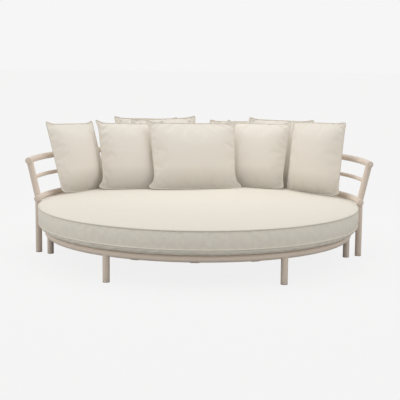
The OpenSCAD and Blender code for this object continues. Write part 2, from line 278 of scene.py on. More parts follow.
class Graph:
    """Adds nodes to one tree and links them."""

    def __init__(self, tree: bpy.types.NodeTree) -> None:
        """Keeps the tree that is being built."""
        self.tree = tree

    def node(self, kind: str, inputs: Mapping[int | str, Any] | None = None, **options: Any) -> bpy.types.Node:
        """Adds a node, sets its options, and links or fills its inputs.

        Args:
            kind: Blender's identifier of the node.
            inputs: A socket to link from or a value to set, by input name or number.
            options: Properties of the node itself.

        Returns:
            The new node.
        """
        made = self.tree.nodes.new(kind)
        for option, value in options.items():
            setattr(made, option, value)
        for key, value in (inputs or {}).items():
            if isinstance(value, bpy.types.NodeSocket):
                self.tree.links.new(value, made.inputs[key])
            else:
                made.inputs[key].default_value = value
        return made

    def math(self, operation: str, first: Any, second: Any = 0.0, clamp: bool = False) -> bpy.types.NodeSocket:
        """Adds a math node and returns its result."""
        return self.node("ShaderNodeMath", {0: first, 1: second}, operation=operation, use_clamp=clamp).outputs[0]

    def noise(self, place: Any, scale: Any, detail: float = 2.0, rough: float = 0.5) -> bpy.types.NodeSocket:
        """Adds a noise texture and returns its value."""
        return self.node(
            "ShaderNodeTexNoise", {"Vector": place, "Scale": scale, "Detail": detail, "Roughness": rough}
        ).outputs[0]

    def stretch(self, place: Any, factors: tuple[float, float, float]) -> bpy.types.NodeSocket:
        """Multiplies a place along each axis and returns the result."""
        return self.node("ShaderNodeVectorMath", {0: place, 1: factors}, operation="MULTIPLY").outputs[0]

    def between(self, share: Any, first: Any, second: Any) -> bpy.types.NodeSocket:
        """Adds a colour mix, from the first at 0 to the second at 1, and returns the colour."""
        made = self.node("ShaderNodeMix", {0: share}, data_type="RGBA")
        for key, value in ((6, first), (7, second)):
            if isinstance(value, bpy.types.NodeSocket):
                self.tree.links.new(value, made.inputs[key])
            else:
                made.inputs[key].default_value = (*value, 1.0)
        return made.outputs[2]

    def ranged(self, value: Any, low: float, high: float, to_low: float = 0.0, to_high: float = 1.0) -> Any:
        """Maps a value from one range to another, held at its ends, and returns it."""
        return self.node("ShaderNodeMapRange", {0: value, 1: low, 2: high, 3: to_low, 4: to_high}).outputs[0]


def start_group(name: str, inputs: Mapping[str, float | None], outputs: Sequence[str]) -> tuple[Graph, Any, Any]:
    """Starts a shader group.

    Args:
        name: Name of the group.
        inputs: Named inputs with their values; None makes a vector input.
        outputs: Named values that the group puts out.

    Returns:
        The graph, the group's input node and its output node.
    """
    tree = bpy.data.node_groups.new(name, "ShaderNodeTree")
    for label, value in inputs.items():
        kind = "NodeSocketVector" if value is None else "NodeSocketFloat"
        socket = tree.interface.new_socket(name=label, in_out="INPUT", socket_type=kind)
        if value is not None:
            socket.default_value = value
    for label in outputs:
        tree.interface.new_socket(name=label, in_out="OUTPUT", socket_type="NodeSocketFloat")
    graph = Graph(tree)
    return graph, graph.node("NodeGroupInput").outputs, graph.node("NodeGroupOutput").inputs


class Pattern(Enum):
    """Effects that more than one finish uses, each one shader group."""

    WEAVE = "weave"
    MOTTLE = "mottle"
    PEEL = "peel"
    RUBS = "rubs"
    DUST = "dust"


class Patterns:
    """Builds each shared group once and places it in materials."""

    def __init__(self) -> None:
        """Starts with no group built."""
        self.built: dict[Pattern, bpy.types.NodeTree] = {}

    def place(self, graph: Graph, kind: Pattern, values: Mapping[str, Any]) -> bpy.types.Node:
        """Places a group in a material's tree with its own values.

        Args:
            graph: The material's graph.
            kind: Which effect.
            values: The group's inputs, by name.

        Returns:
            The group's node.
        """
        if kind not in self.built:
            self.built[kind] = getattr(self, "build_" + kind.value)()
        return graph.node("ShaderNodeGroup", values, node_tree=self.built[kind])

    def build_weave(self) -> bpy.types.NodeTree:
        """Builds a plain weave: threads that pass over and under, uneven along their length.

        Returns:
            The group, with the cloth's height and how light each thread is.
        """
        graph, given, out = start_group(
            "weave", {"Place": None, "Threads": 900.0, "Slub": 0.4}, ("Height", "Tone")
        )
        wander = graph.noise(given["Place"], 60.0, 2.0)
        moved = graph.node(
            "ShaderNodeVectorMath", {0: given["Place"], 1: graph.math("MULTIPLY", wander, 0.0012)}, operation="ADD"
        ).outputs[0]
        scaled = graph.node("ShaderNodeVectorMath", {0: moved, 3: given["Threads"]}, operation="SCALE").outputs[0]
        parts = graph.node("ShaderNodeSeparateXYZ", {0: scaled}).outputs
        crests, cells = [], []
        for axis in (0, 1):
            within = graph.math("SUBTRACT", graph.math("FRACT", parts[axis]), 0.5)
            crest = graph.math("SUBTRACT", 1.0, graph.math("MULTIPLY", graph.math("MULTIPLY", within, within), 4.0))
            crests.append(crest)
            cells.append(graph.math("FLOOR", parts[axis]))
        odd = graph.math("ABSOLUTE", graph.math("MODULO", graph.math("ADD", cells[0], cells[1]), 2.0))
        warp = graph.math("MULTIPLY", crests[0], graph.ranged(crests[1], 0.0, 1.0, 0.35, 1.0))
        weft = graph.math("MULTIPLY", crests[1], graph.ranged(crests[0], 0.0, 1.0, 0.35, 1.0))
        over = graph.math("MULTIPLY", odd, warp)
        under = graph.math("MULTIPLY", graph.math("SUBTRACT", 1.0, odd), weft)
        graph.tree.links.new(graph.math("ADD", over, under), out["Height"])
        along = graph.noise(graph.stretch(given["Place"], (1.0, 14.0, 1.0)), 70.0, 3.0, 0.6)
        across = graph.noise(graph.stretch(given["Place"], (14.0, 1.0, 1.0)), 70.0, 3.0, 0.6)
        streaks = graph.math("SUBTRACT", graph.math("MULTIPLY", graph.math("ADD", along, across), 0.5), 0.5)
        tone = graph.math("ADD", graph.math("MULTIPLY", streaks, given["Slub"]), 0.5, clamp=True)
        graph.tree.links.new(tone, out["Tone"])
        return graph.tree

    def build_mottle(self) -> bpy.types.NodeTree:
        """Builds soft cloudy variation and returns the group."""
        graph, given, out = start_group("mottle", {"Place": None, "Scale": 5.0, "Contrast": 1.0}, ("Cloud",))
        cloud = graph.math("SUBTRACT", graph.noise(given["Place"], given["Scale"], 3.0, 0.55), 0.5)
        spread = graph.math("MULTIPLY", cloud, given["Contrast"])
        graph.tree.links.new(graph.math("ADD", spread, 0.5, clamp=True), out["Cloud"])
        return graph.tree

    def build_peel(self) -> bpy.types.NodeTree:
        """Builds the fine orange peel of sprayed or moulded surfaces and returns the group."""
        graph, given, out = start_group("peel", {"Place": None, "Scale": 900.0}, ("Height",))
        fine = graph.noise(given["Place"], given["Scale"], 2.0, 0.6)
        broad = graph.noise(given["Place"], graph.math("MULTIPLY", given["Scale"], 0.14), 1.0)
        mixed = graph.math("ADD", graph.math("MULTIPLY", fine, 0.6), graph.math("MULTIPLY", broad, 0.4))
        graph.tree.links.new(mixed, out["Height"])
        return graph.tree

    def build_rubs(self) -> bpy.types.NodeTree:
        """Builds rub marks that gather towards the floor, where feet and brooms touch, and returns the group."""
        graph, given, out = start_group("rubs", {"Place": None, "Reach": 0.06, "Amount": 0.5}, ("Mask",))
        height = graph.node("ShaderNodeSeparateXYZ", {0: given["Place"]}).outputs[2]
        low = graph.math(
            "SUBTRACT", 1.0, graph.math("DIVIDE", height, given["Reach"], clamp=True), clamp=True
        )
        marks = graph.noise(graph.stretch(given["Place"], (1.0, 1.0, 0.35)), 160.0, 4.0, 0.65)
        raised = graph.math("ADD", marks, graph.math("MULTIPLY", low, 0.16))
        cut = graph.ranged(raised, 0.63, 0.70)
        graph.tree.links.new(graph.math("MULTIPLY", cut, given["Amount"], clamp=True), out["Mask"])
        return graph.tree

    def build_dust(self) -> bpy.types.NodeTree:
        """Builds thin dust on faces that look up and returns the group."""
        graph, given, out = start_group("dust", {"Place": None, "Amount": 0.3}, ("Mask",))
        facing = graph.node("ShaderNodeSeparateXYZ", {0: graph.node("ShaderNodeNewGeometry").outputs["Normal"]})
        level = graph.ranged(facing.outputs[2], 0.35, 1.0)
        drift = graph.ranged(graph.noise(given["Place"], 14.0, 4.0, 0.6), 0.35, 0.75)
        mask = graph.math("MULTIPLY", graph.math("MULTIPLY", level, drift), given["Amount"], clamp=True)
        graph.tree.links.new(mask, out["Mask"])
        return graph.tree


PATTERNS = Patterns()


# Finishes


def start_material(name: str, values: Mapping[str, Any]) -> tuple[bpy.types.Material, Graph, bpy.types.Node]:
    """Starts a material with one principled shader.

    Args:
        name: Name of the material.
        values: Values that are the same all over, set on the shader's own sockets.

    Returns:
        The material, its graph and its shader.
    """
    made = bpy.data.materials.new(name)
    made.use_nodes = True
    made.node_tree.nodes.clear()
    graph = Graph(made.node_tree)
    shader = graph.node("ShaderNodeBsdfPrincipled", values)
    graph.node("ShaderNodeOutputMaterial", {"Surface": shader.outputs[0]})
    return made, graph, shader


@dataclass(frozen=True)
class Cloth:
    """Woven outdoor fabric, on flat panels or wound round a piping cord."""

    name: str
    colour: Colour
    threads: float = 900.0
    relief: float = 0.00022
    slub: float = 0.5
    variation: float = 0.035
    bias: bool = False
    lay_pitch: float = 0.0105
    # foot: how strongly painted shade darkens each panel's lower part, standing in for the shadow where a pillow meets
    # the mattress; foot_shade is that painted shade's colour share, and foot_from and foot_to are its reach on the
    # cloth map
    foot: float = 0.0
    foot_shade: float = 0.5
    foot_from: float = -0.235
    foot_to: float = -0.10

    def build(self) -> bpy.types.Material:
        """Builds the fabric: weave, slubs, soft clouding and painted shade that darkens the foot, with a matt fuzz.

        Returns:
            The material.
        """
        made, graph, shader = start_material(
            self.name,
            {"Roughness": 0.92, "Specular IOR Level": 0.18, "Sheen Weight": 0.12, "Sheen Roughness": 0.55},
        )
        body = graph.node("ShaderNodeTexCoord").outputs["Object"]
        yarn = {"Threads": self.threads, "Slub": self.slub}
        if self.bias:
            run = graph.node("ShaderNodeAttribute", attribute_name="run").outputs["Fac"]
            ridge = graph.math("SINE", graph.math("MULTIPLY", run, 2 * math.pi / self.lay_pitch))
            lie = graph.math("MULTIPLY", graph.math("ADD", ridge, graph.noise(body, 120.0, 2.0)), 0.5)
            weave = PATTERNS.place(graph, Pattern.WEAVE, {"Place": body, **yarn})
            height = graph.math("ADD", weave.outputs["Height"], graph.math("MULTIPLY", lie, 1.6))
        else:
            place = graph.node("ShaderNodeUVMap", uv_map="cloth").outputs[0]
            weave = PATTERNS.place(graph, Pattern.WEAVE, {"Place": place, **yarn})
            height = weave.outputs["Height"]
            level = graph.node("ShaderNodeSeparateXYZ", {0: place}).outputs[1]
            # Painted shade: the panel darkens towards its foot, from foot_to down to foot_from on the cloth map
            painted_foot_shade = graph.ranged(level, self.foot_from, self.foot_to, self.foot, 0.0)
        cloud = PATTERNS.place(graph, Pattern.MOTTLE, {"Place": body, "Scale": 5.0, "Contrast": 1.5}).outputs[0]
        dark = shade(self.colour, 1 - self.variation)
        base = graph.between(cloud, dark, self.colour)
        threads = graph.between(weave.outputs["Tone"], shade(self.colour, 0.9), shade(self.colour, 1.04))
        woven = graph.between(0.45, base, threads)
        # Mixes the painted shade into the cloth's colour at the foot
        if self.foot:
            woven = graph.between(painted_foot_shade, woven, shade(self.colour, self.foot_shade))
        graph.tree.links.new(woven, shader.inputs["Base Color"])
        bump = graph.node("ShaderNodeBump", {"Strength": 0.7, "Distance": self.relief, "Height": height})
        graph.tree.links.new(bump.outputs[0], shader.inputs["Normal"])
        return made


@dataclass(frozen=True)
class PowderCoat:
    """Matt powder coat on aluminium tube."""

    name: str
    colour: Colour
    scuffs: float = 0.5
    scuff_shade: float = 0.62
    scuff_reach: float = 0.07
    dust: float = 0.25
    dust_colour: Colour = shade(paint(214, 207, 196), 0.95)
    cloud_shade: float = 0.955

    def build(self) -> bpy.types.Material:
        """Builds the coat: orange peel, faint clouding, dust on top and rubs near the floor.

        Returns:
            The material.
        """
        made, graph, shader = start_material(self.name, {"Specular IOR Level": 0.4})
        place = graph.node("ShaderNodeTexCoord").outputs["Object"]
        cloud = PATTERNS.place(graph, Pattern.MOTTLE, {"Place": place, "Scale": 7.0, "Contrast": 1.6}).outputs[0]
        base = graph.between(cloud, shade(self.colour, self.cloud_shade), self.colour)
        dust = PATTERNS.place(graph, Pattern.DUST, {"Place": place, "Amount": self.dust}).outputs[0]
        dusty = graph.between(dust, base, self.dust_colour)
        marks = {"Place": place, "Reach": self.scuff_reach, "Amount": self.scuffs}
        rubs = PATTERNS.place(graph, Pattern.RUBS, marks).outputs[0]
        worn = graph.between(rubs, dusty, shade(self.colour, self.scuff_shade))
        graph.tree.links.new(worn, shader.inputs["Base Color"])
        rough = graph.math("ADD", graph.ranged(cloud, 0.0, 1.0, 0.50, 0.60), graph.math("MULTIPLY", dust, 0.3))
        graph.tree.links.new(rough, shader.inputs["Roughness"])
        peel = PATTERNS.place(graph, Pattern.PEEL, {"Place": place, "Scale": 900.0})
        bump = graph.node("ShaderNodeBump", {"Strength": 0.55, "Distance": 0.0001, "Height": peel.outputs[0]})
        graph.tree.links.new(bump.outputs[0], shader.inputs["Normal"])
        return made


@dataclass(frozen=True)
class Moulding:
    """Moulded plastic of the glides and the zips."""

    name: str
    colour: Colour
    rubs: float = 0.6
    rub_shade: float = 1.5
    rub_reach: float = 0.01
    cloud_shade: float = 0.85

    def build(self) -> bpy.types.Material:
        """Builds the plastic, with a fine grain that is rubbed where it meets the floor.

        Returns:
            The material.
        """
        made, graph, shader = start_material(self.name, {"Specular IOR Level": 0.45})
        place = graph.node("ShaderNodeTexCoord").outputs["Object"]
        cloud = PATTERNS.place(graph, Pattern.MOTTLE, {"Place": place, "Scale": 30.0, "Contrast": 1.2}).outputs[0]
        base = graph.between(cloud, shade(self.colour, self.cloud_shade), self.colour)
        marks = {"Place": place, "Reach": self.rub_reach, "Amount": self.rubs}
        rubs = PATTERNS.place(graph, Pattern.RUBS, marks).outputs[0]
        rubbed = graph.between(rubs, base, shade(self.colour, self.rub_shade))
        graph.tree.links.new(rubbed, shader.inputs["Base Color"])
        graph.tree.links.new(graph.ranged(cloud, 0.0, 1.0, 0.42, 0.6), shader.inputs["Roughness"])
        peel = PATTERNS.place(graph, Pattern.PEEL, {"Place": place, "Scale": 1800.0})
        bump = graph.node("ShaderNodeBump", {"Strength": 0.4, "Distance": 0.00006, "Height": peel.outputs[0]})
        graph.tree.links.new(bump.outputs[0], shader.inputs["Normal"])
        return made


@dataclass(frozen=True)
class Steel:
    """Brushed stainless steel of the bolts and the zip's slider."""

    name: str
    colour: Colour
    stain_shade: float = 0.78

    def build(self) -> bpy.types.Material:
        """Builds the steel, with turning marks and stains of handling.

        Returns:
            The material.
        """
        made, graph, shader = start_material(self.name, {"Metallic": 1.0})
        place = graph.node("ShaderNodeTexCoord").outputs["Object"]
        cloud = PATTERNS.place(graph, Pattern.MOTTLE, {"Place": place, "Scale": 90.0, "Contrast": 1.6}).outputs[0]
        stained = graph.between(cloud, shade(self.colour, self.stain_shade), self.colour)
        graph.tree.links.new(stained, shader.inputs["Base Color"])
        graph.tree.links.new(graph.ranged(cloud, 0.0, 1.0, 0.28, 0.46), shader.inputs["Roughness"])
        lines = graph.noise(graph.stretch(place, (1.0, 1.0, 30.0)), 400.0, 2.0)
        bump = graph.node("ShaderNodeBump", {"Strength": 0.3, "Distance": 0.00003, "Height": lines})
        graph.tree.links.new(bump.outputs[0], shader.inputs["Normal"])
        return made


@dataclass(frozen=True)
class Thread:
    """Sewing thread."""

    name: str
    colour: Colour
    # groove_shade: colour share of the painted shade in the grooves between the plies
    groove_shade: float = 0.8

    def build(self) -> bpy.types.Material:
        """Builds the thread, with the lay of its plies and painted shade in the grooves between them.

        Returns:
            The material.
        """
        made, graph, shader = start_material(
            self.name, {"Roughness": 0.7, "Sheen Weight": 0.2, "Specular IOR Level": 0.3}
        )
        place = graph.node("ShaderNodeTexCoord").outputs["Object"]
        plies = graph.node("ShaderNodeTexWave", {"Vector": place, "Scale": 900.0, "Distortion": 1.5}).outputs[1]
        # Painted shade: the grooves between the plies are darker
        twisted = graph.between(plies, shade(self.colour, self.groove_shade), self.colour)
        graph.tree.links.new(twisted, shader.inputs["Base Color"])
        bump = graph.node("ShaderNodeBump", {"Strength": 0.4, "Distance": 0.0001, "Height": plies})
        graph.tree.links.new(bump.outputs[0], shader.inputs["Normal"])
        return made


class Finishes:
    """Every material of the daybed, built once."""

    def __init__(self) -> None:
        """Builds the materials."""
        cream, ivory, beige = paint(240, 235, 224), paint(240, 234, 224), paint(231, 217, 204)
        self.mattress = Cloth("mattress cloth", cream).build()
        # The pillow cloth gets painted shade at its foot (foot=0.6), standing in for the shadow along the mattress
        self.pillow = Cloth("pillow cloth", ivory, threads=820.0, foot=0.6).build()
        # Painted shade: the piping cloth is the cream made 10% darker, standing in for the thin shadow line along the
        # pillows' seams and the mattress's top seam
        self.piping = Cloth("piping cloth", shade(cream, 0.90), bias=True).build()
        self.low_piping = Cloth("low piping cloth", cream, bias=True).build()
        self.frame = PowderCoat("frame coat", beige).build()
        self.deck = PowderCoat("deck coat", shade(beige, 0.95), scuffs=0.2, dust=0.5).build()
        self.glide = Moulding("glide plastic", paint(172, 161, 150)).build()
        self.zip = Moulding("zip nylon", paint(214, 208, 196), rubs=0.0).build()
        self.steel = Steel("bolt steel", paint(196, 195, 193)).build()
        self.thread = Thread("sewing thread", paint(232, 227, 214)).build()


# Geometry trees for what repeats or follows a path


class Tool(Enum):
    """Geometry trees that turn a bare path into a piece."""

    CORD = "cord"
    BEAD = "bead"
    STITCH = "stitch"
    TEETH = "teeth"


class PathTools:
    """Builds each geometry tree once and runs it on paths."""

    def __init__(self) -> None:
        """Starts with no tree built."""
        self.built: dict[Tool, bpy.types.NodeTree] = {}

    def start(self, name: str, sizes: Mapping[str, float]) -> tuple[Graph, Any, Any, Any]:
        """Starts a geometry tree with a path, sizes and a material.

        Args:
            name: Name of the tree.
            sizes: Named sizes with their first values.

        Returns:
            The graph, the input sockets, the output sockets and the path as a curve.
        """
        tree = bpy.data.node_groups.new(name, "GeometryNodeTree")
        tree.interface.new_socket(name="Path", in_out="INPUT", socket_type="NodeSocketGeometry")
        for label, value in sizes.items():
            tree.interface.new_socket(
                name=label, in_out="INPUT", socket_type="NodeSocketFloat"
            ).default_value = value
        tree.interface.new_socket(name="Finish", in_out="INPUT", socket_type="NodeSocketMaterial")
        tree.interface.new_socket(name="Piece", in_out="OUTPUT", socket_type="NodeSocketGeometry")
        graph = Graph(tree)
        given = graph.node("NodeGroupInput").outputs
        curve = graph.node("GeometryNodeMeshToCurve", {0: given["Path"]}).outputs[0]
        return graph, given, graph.node("NodeGroupOutput").inputs, curve

    def finish(self, graph: Graph, given: Any, out: Any, shape: Any) -> bpy.types.NodeTree:
        """Ends a tree: smooth, made real, and in its finish."""
        smooth = graph.node("GeometryNodeSetShadeSmooth", {0: shape}).outputs[0]
        real = graph.node("GeometryNodeRealizeInstances", {0: smooth}).outputs[0]
        clad = graph.node("GeometryNodeSetMaterial", {0: real, "Material": given["Finish"]}).outputs[0]
        graph.tree.links.new(clad, out["Piece"])
        return graph.tree

    def build_cord(self) -> bpy.types.NodeTree:
        """Builds a round cord along the path, with how far it has run kept on it."""
        graph, given, out, curve = self.start("cord along path", {"Radius": 0.0033, "Step": 0.006})
        even = graph.node("GeometryNodeResampleCurve", {0: curve, "Length": given["Step"]}, mode="LENGTH").outputs[0]
        run = graph.node("GeometryNodeSplineParameter").outputs["Length"]
        kept = graph.node("GeometryNodeStoreNamedAttribute", {0: even, "Name": "run", "Value": run}, domain="POINT")
        ring = graph.node("GeometryNodeCurvePrimitiveCircle", {"Resolution": 10, "Radius": given["Radius"]})
        cord = graph.node("GeometryNodeCurveToMesh", {0: kept.outputs[0], 1: ring.outputs[0], "Fill Caps": True})
        return self.finish(graph, given, out, cord.outputs[0])

    def build_bead(self) -> bpy.types.NodeTree:
        """Builds a weld bead along the path: a cord whose thickness ripples with each stroke of the torch."""
        graph, given, out, curve = self.start("weld bead", {"Radius": 0.002, "Stroke": 0.005})
        even = graph.node("GeometryNodeResampleCurve", {0: curve, "Length": 0.0017}, mode="LENGTH").outputs[0]
        run = graph.node("GeometryNodeSplineParameter").outputs["Length"]
        turn = graph.math("MULTIPLY", graph.math("DIVIDE", run, given["Stroke"]), 2 * math.pi)
        ripple = graph.math("ADD", 1.0, graph.math("MULTIPLY", graph.math("SINE", turn), 0.14))
        ring = graph.node("GeometryNodeCurvePrimitiveCircle", {"Resolution": 8, "Radius": given["Radius"]})
        bead = graph.node("GeometryNodeCurveToMesh", {0: even, 1: ring.outputs[0], "Scale": ripple})
        return self.finish(graph, given, out, bead.outputs[0])

    def lay_along(self, graph: Graph, given: Any, curve: Any, solid: Any, size: Mapping[int, Any]) -> Any:
        """Lays one small solid at an even pitch along the path, turned to follow it.

        Args:
            graph: The tree's graph.
            given: The tree's inputs, with the pitch.
            curve: The path.
            solid: The small solid.
            size: Its length, thickness and width, by axis number.

        Returns:
            The laid solids.
        """
        points = graph.node("GeometryNodeCurveToPoints", {0: curve, "Length": given["Pitch"]}, mode="LENGTH")
        heading = graph.node("FunctionNodeAlignRotationToVector", {"Vector": points.outputs["Tangent"]}, axis="X")
        scale = graph.node("ShaderNodeCombineXYZ", size).outputs[0]
        return graph.node(
            "GeometryNodeInstanceOnPoints",
            {0: points.outputs[0], "Instance": solid, "Rotation": heading.outputs[0], "Scale": scale},
        ).outputs[0]

    def build_stitch(self) -> bpy.types.NodeTree:
        """Builds stitches at an even pitch along the path."""
        graph, given, out, curve = self.start("stitches", {"Pitch": 0.0055, "Long": 0.0017, "Thick": 0.00045})
        grain = graph.node("GeometryNodeMeshUVSphere", {"Segments": 6, "Rings": 4, "Radius": 1.0}).outputs[0]
        size = {0: given["Long"], 1: given["Thick"], 2: given["Thick"]}
        return self.finish(graph, given, out, self.lay_along(graph, given, curve, grain, size))

    def build_teeth(self) -> bpy.types.NodeTree:
        """Builds the teeth of a zip at an even pitch along the path."""
        graph, given, out, curve = self.start(
            "zip teeth", {"Pitch": 0.0026, "Long": 0.0016, "Wide": 0.0052, "Thick": 0.0014}
        )
        tooth = graph.node("GeometryNodeMeshCube", {"Size": (1.0, 1.0, 1.0)}).outputs[0]
        size = {0: given["Long"], 1: given["Thick"], 2: given["Wide"]}
        return self.finish(graph, given, out, self.lay_along(graph, given, curve, tooth, size))

    def run(
        self, tool: Tool, name: str, runs: Iterable[Points], closed: bool, finish: bpy.types.Material, **sizes: float
    ) -> bpy.types.Object:
        """Runs one tree on paths and keeps the result as a plain mesh.

        Args:
            tool: Which tree.
            name: Name of the piece.
            runs: One or more runs of points.
            closed: Whether each run joins up with its start.
            finish: The piece's material.
            sizes: The tree's named sizes, in lower case.

        Returns:
            The finished piece.
        """
        if tool not in self.built:
            self.built[tool] = getattr(self, "build_" + tool.value)()
        tree = self.built[tool]
        made = lay_path(name, runs, closed)
        step = made.modifiers.new("path tool", "NODES")
        step.node_group = tree
        for item in tree.interface.items_tree:
            if item.in_out == "INPUT" and item.name.lower() in sizes:
                step[item.identifier] = float(sizes[item.name.lower()])
            elif item.in_out == "INPUT" and item.name == "Finish":
                step[item.identifier] = finish
        graph = bpy.context.evaluated_depsgraph_get()
        mesh = bpy.data.meshes.new_from_object(
            made.evaluated_get(graph), preserve_all_data_layers=True, depsgraph=graph
        )
        made.modifiers.clear()
        made.data = mesh
        mesh.name = name
        return made


TOOLS = PathTools()


# Cloth that settles under its filling


SETTLE_FRAMES = 20

FABRIC: Mapping[str, float] = {
    "quality": 5,
    "mass": 0.25,
    "air_damping": 1.0,
    "tension_stiffness": 40.0,
    "compression_stiffness": 40.0,
    "shear_stiffness": 12.0,
    "bending_stiffness": 0.35,
    "tension_damping": 8.0,
    "compression_damping": 8.0,
}


@dataclass
class Settling:
    """One cover whose fabric settles: its mesh at the start and how far a point may move."""

    cover: bpy.types.Object
    pinned: Points
    excess: float
    pressure: float
    cap: float
    start: Points = field(init=False)
    settled: Points = field(init=False)

    def __post_init__(self) -> None:
        """Keeps the cover's points as laid."""
        self.start = read_points(self.cover.data)
        self.settled = self.start.copy()

    def prepare(self) -> None:
        """Pins the seams and adds Blender's cloth."""
        group = self.cover.vertex_groups.new(name="seams")
        for weight in np.unique(self.pinned[self.pinned > 0]):
            group.add([int(k) for k in np.flatnonzero(self.pinned == weight)], float(weight), "REPLACE")
        cloth = self.cover.modifiers.new("fabric", "CLOTH")
        fabric = cloth.settings
        for label, value in FABRIC.items():
            setattr(fabric, label, value)
        fabric.use_pressure = True
        fabric.uniform_pressure_force = self.pressure
        fabric.shrink_min = -self.excess
        fabric.vertex_group_mass = "seams"
        fabric.effector_weights.gravity = 0.0
        cloth.collision_settings.use_collision = False
        cloth.collision_settings.use_self_collision = False
        cloth.point_cache.frame_start = 1
        cloth.point_cache.frame_end = SETTLE_FRAMES

    def collect(self, graph: bpy.types.Depsgraph) -> None:
        """Keeps where the fabric has settled, with no point moved past the cap.

        Args:
            graph: The evaluated scene at the last frame.
        """
        moved = read_points(self.cover.evaluated_get(graph).data)
        shift = moved - self.start
        reach = np.linalg.norm(shift, axis=1, keepdims=True)
        self.settled = self.start + shift * np.minimum(1.0, self.cap / np.maximum(reach, 1e-9))

    def release(self) -> None:
        """Takes the cloth and its seam group off the cover."""
        self.cover.modifiers.clear()
        self.cover.vertex_groups.clear()


def crease_seam(cover: bpy.types.Object, seam: set[int], sharpness: float) -> None:
    """Creases a cover along its seams and smooths the rest.

    Args:
        cover: The cover.
        seam: Numbers of the points on its seams.
        sharpness: How sharp the seams stay, 0 to 1.
    """
    crease = cover.data.attributes.new("crease_edge", "FLOAT", "EDGE")
    for edge in cover.data.edges:
        if edge.vertices[0] in seam and edge.vertices[1] in seam:
            crease.data[edge.index].value = sharpness
    smooth = cover.modifiers.new("smooth", "SUBSURF")
    smooth.levels = smooth.render_levels = 1


def read_points(mesh: bpy.types.Mesh) -> Points:
    """Returns a mesh's points as rows of three numbers."""
    flat = np.zeros(len(mesh.vertices) * 3, np.float32)
    mesh.vertices.foreach_get("co", flat)
    return flat.reshape(-1, 3).astype(float)


def write_points(mesh: bpy.types.Mesh, points: Points) -> None:
    """Moves a mesh's points."""
    mesh.vertices.foreach_set("co", np.asarray(points, np.float32).ravel())
    mesh.update()


def settle(covers: Sequence[Settling]) -> None:
    scene = bpy.context.scene
    for cover in covers:
        cover.prepare()
    for frame in range(1, SETTLE_FRAMES + 1):
        scene.frame_set(frame)
    graph = bpy.context.evaluated_depsgraph_get()
    for cover in covers:
        cover.collect(graph)
    for cover in covers:
        cover.release()
    scene.frame_set(1)


# Pillows


class Kind(Enum):
    """What presses on a pillow, as its front and back swells."""

    END = (PLAN.swell_front, PLAN.swell_free)
    FRONT = (PLAN.swell_front, PLAN.swell_pressed)
    REAR = (PLAN.swell_pressed, PLAN.swell_pressed)


# A round ear's middle stands in from the square corner by this share of its radius, along each edge
EAR_ROUND = 0.293


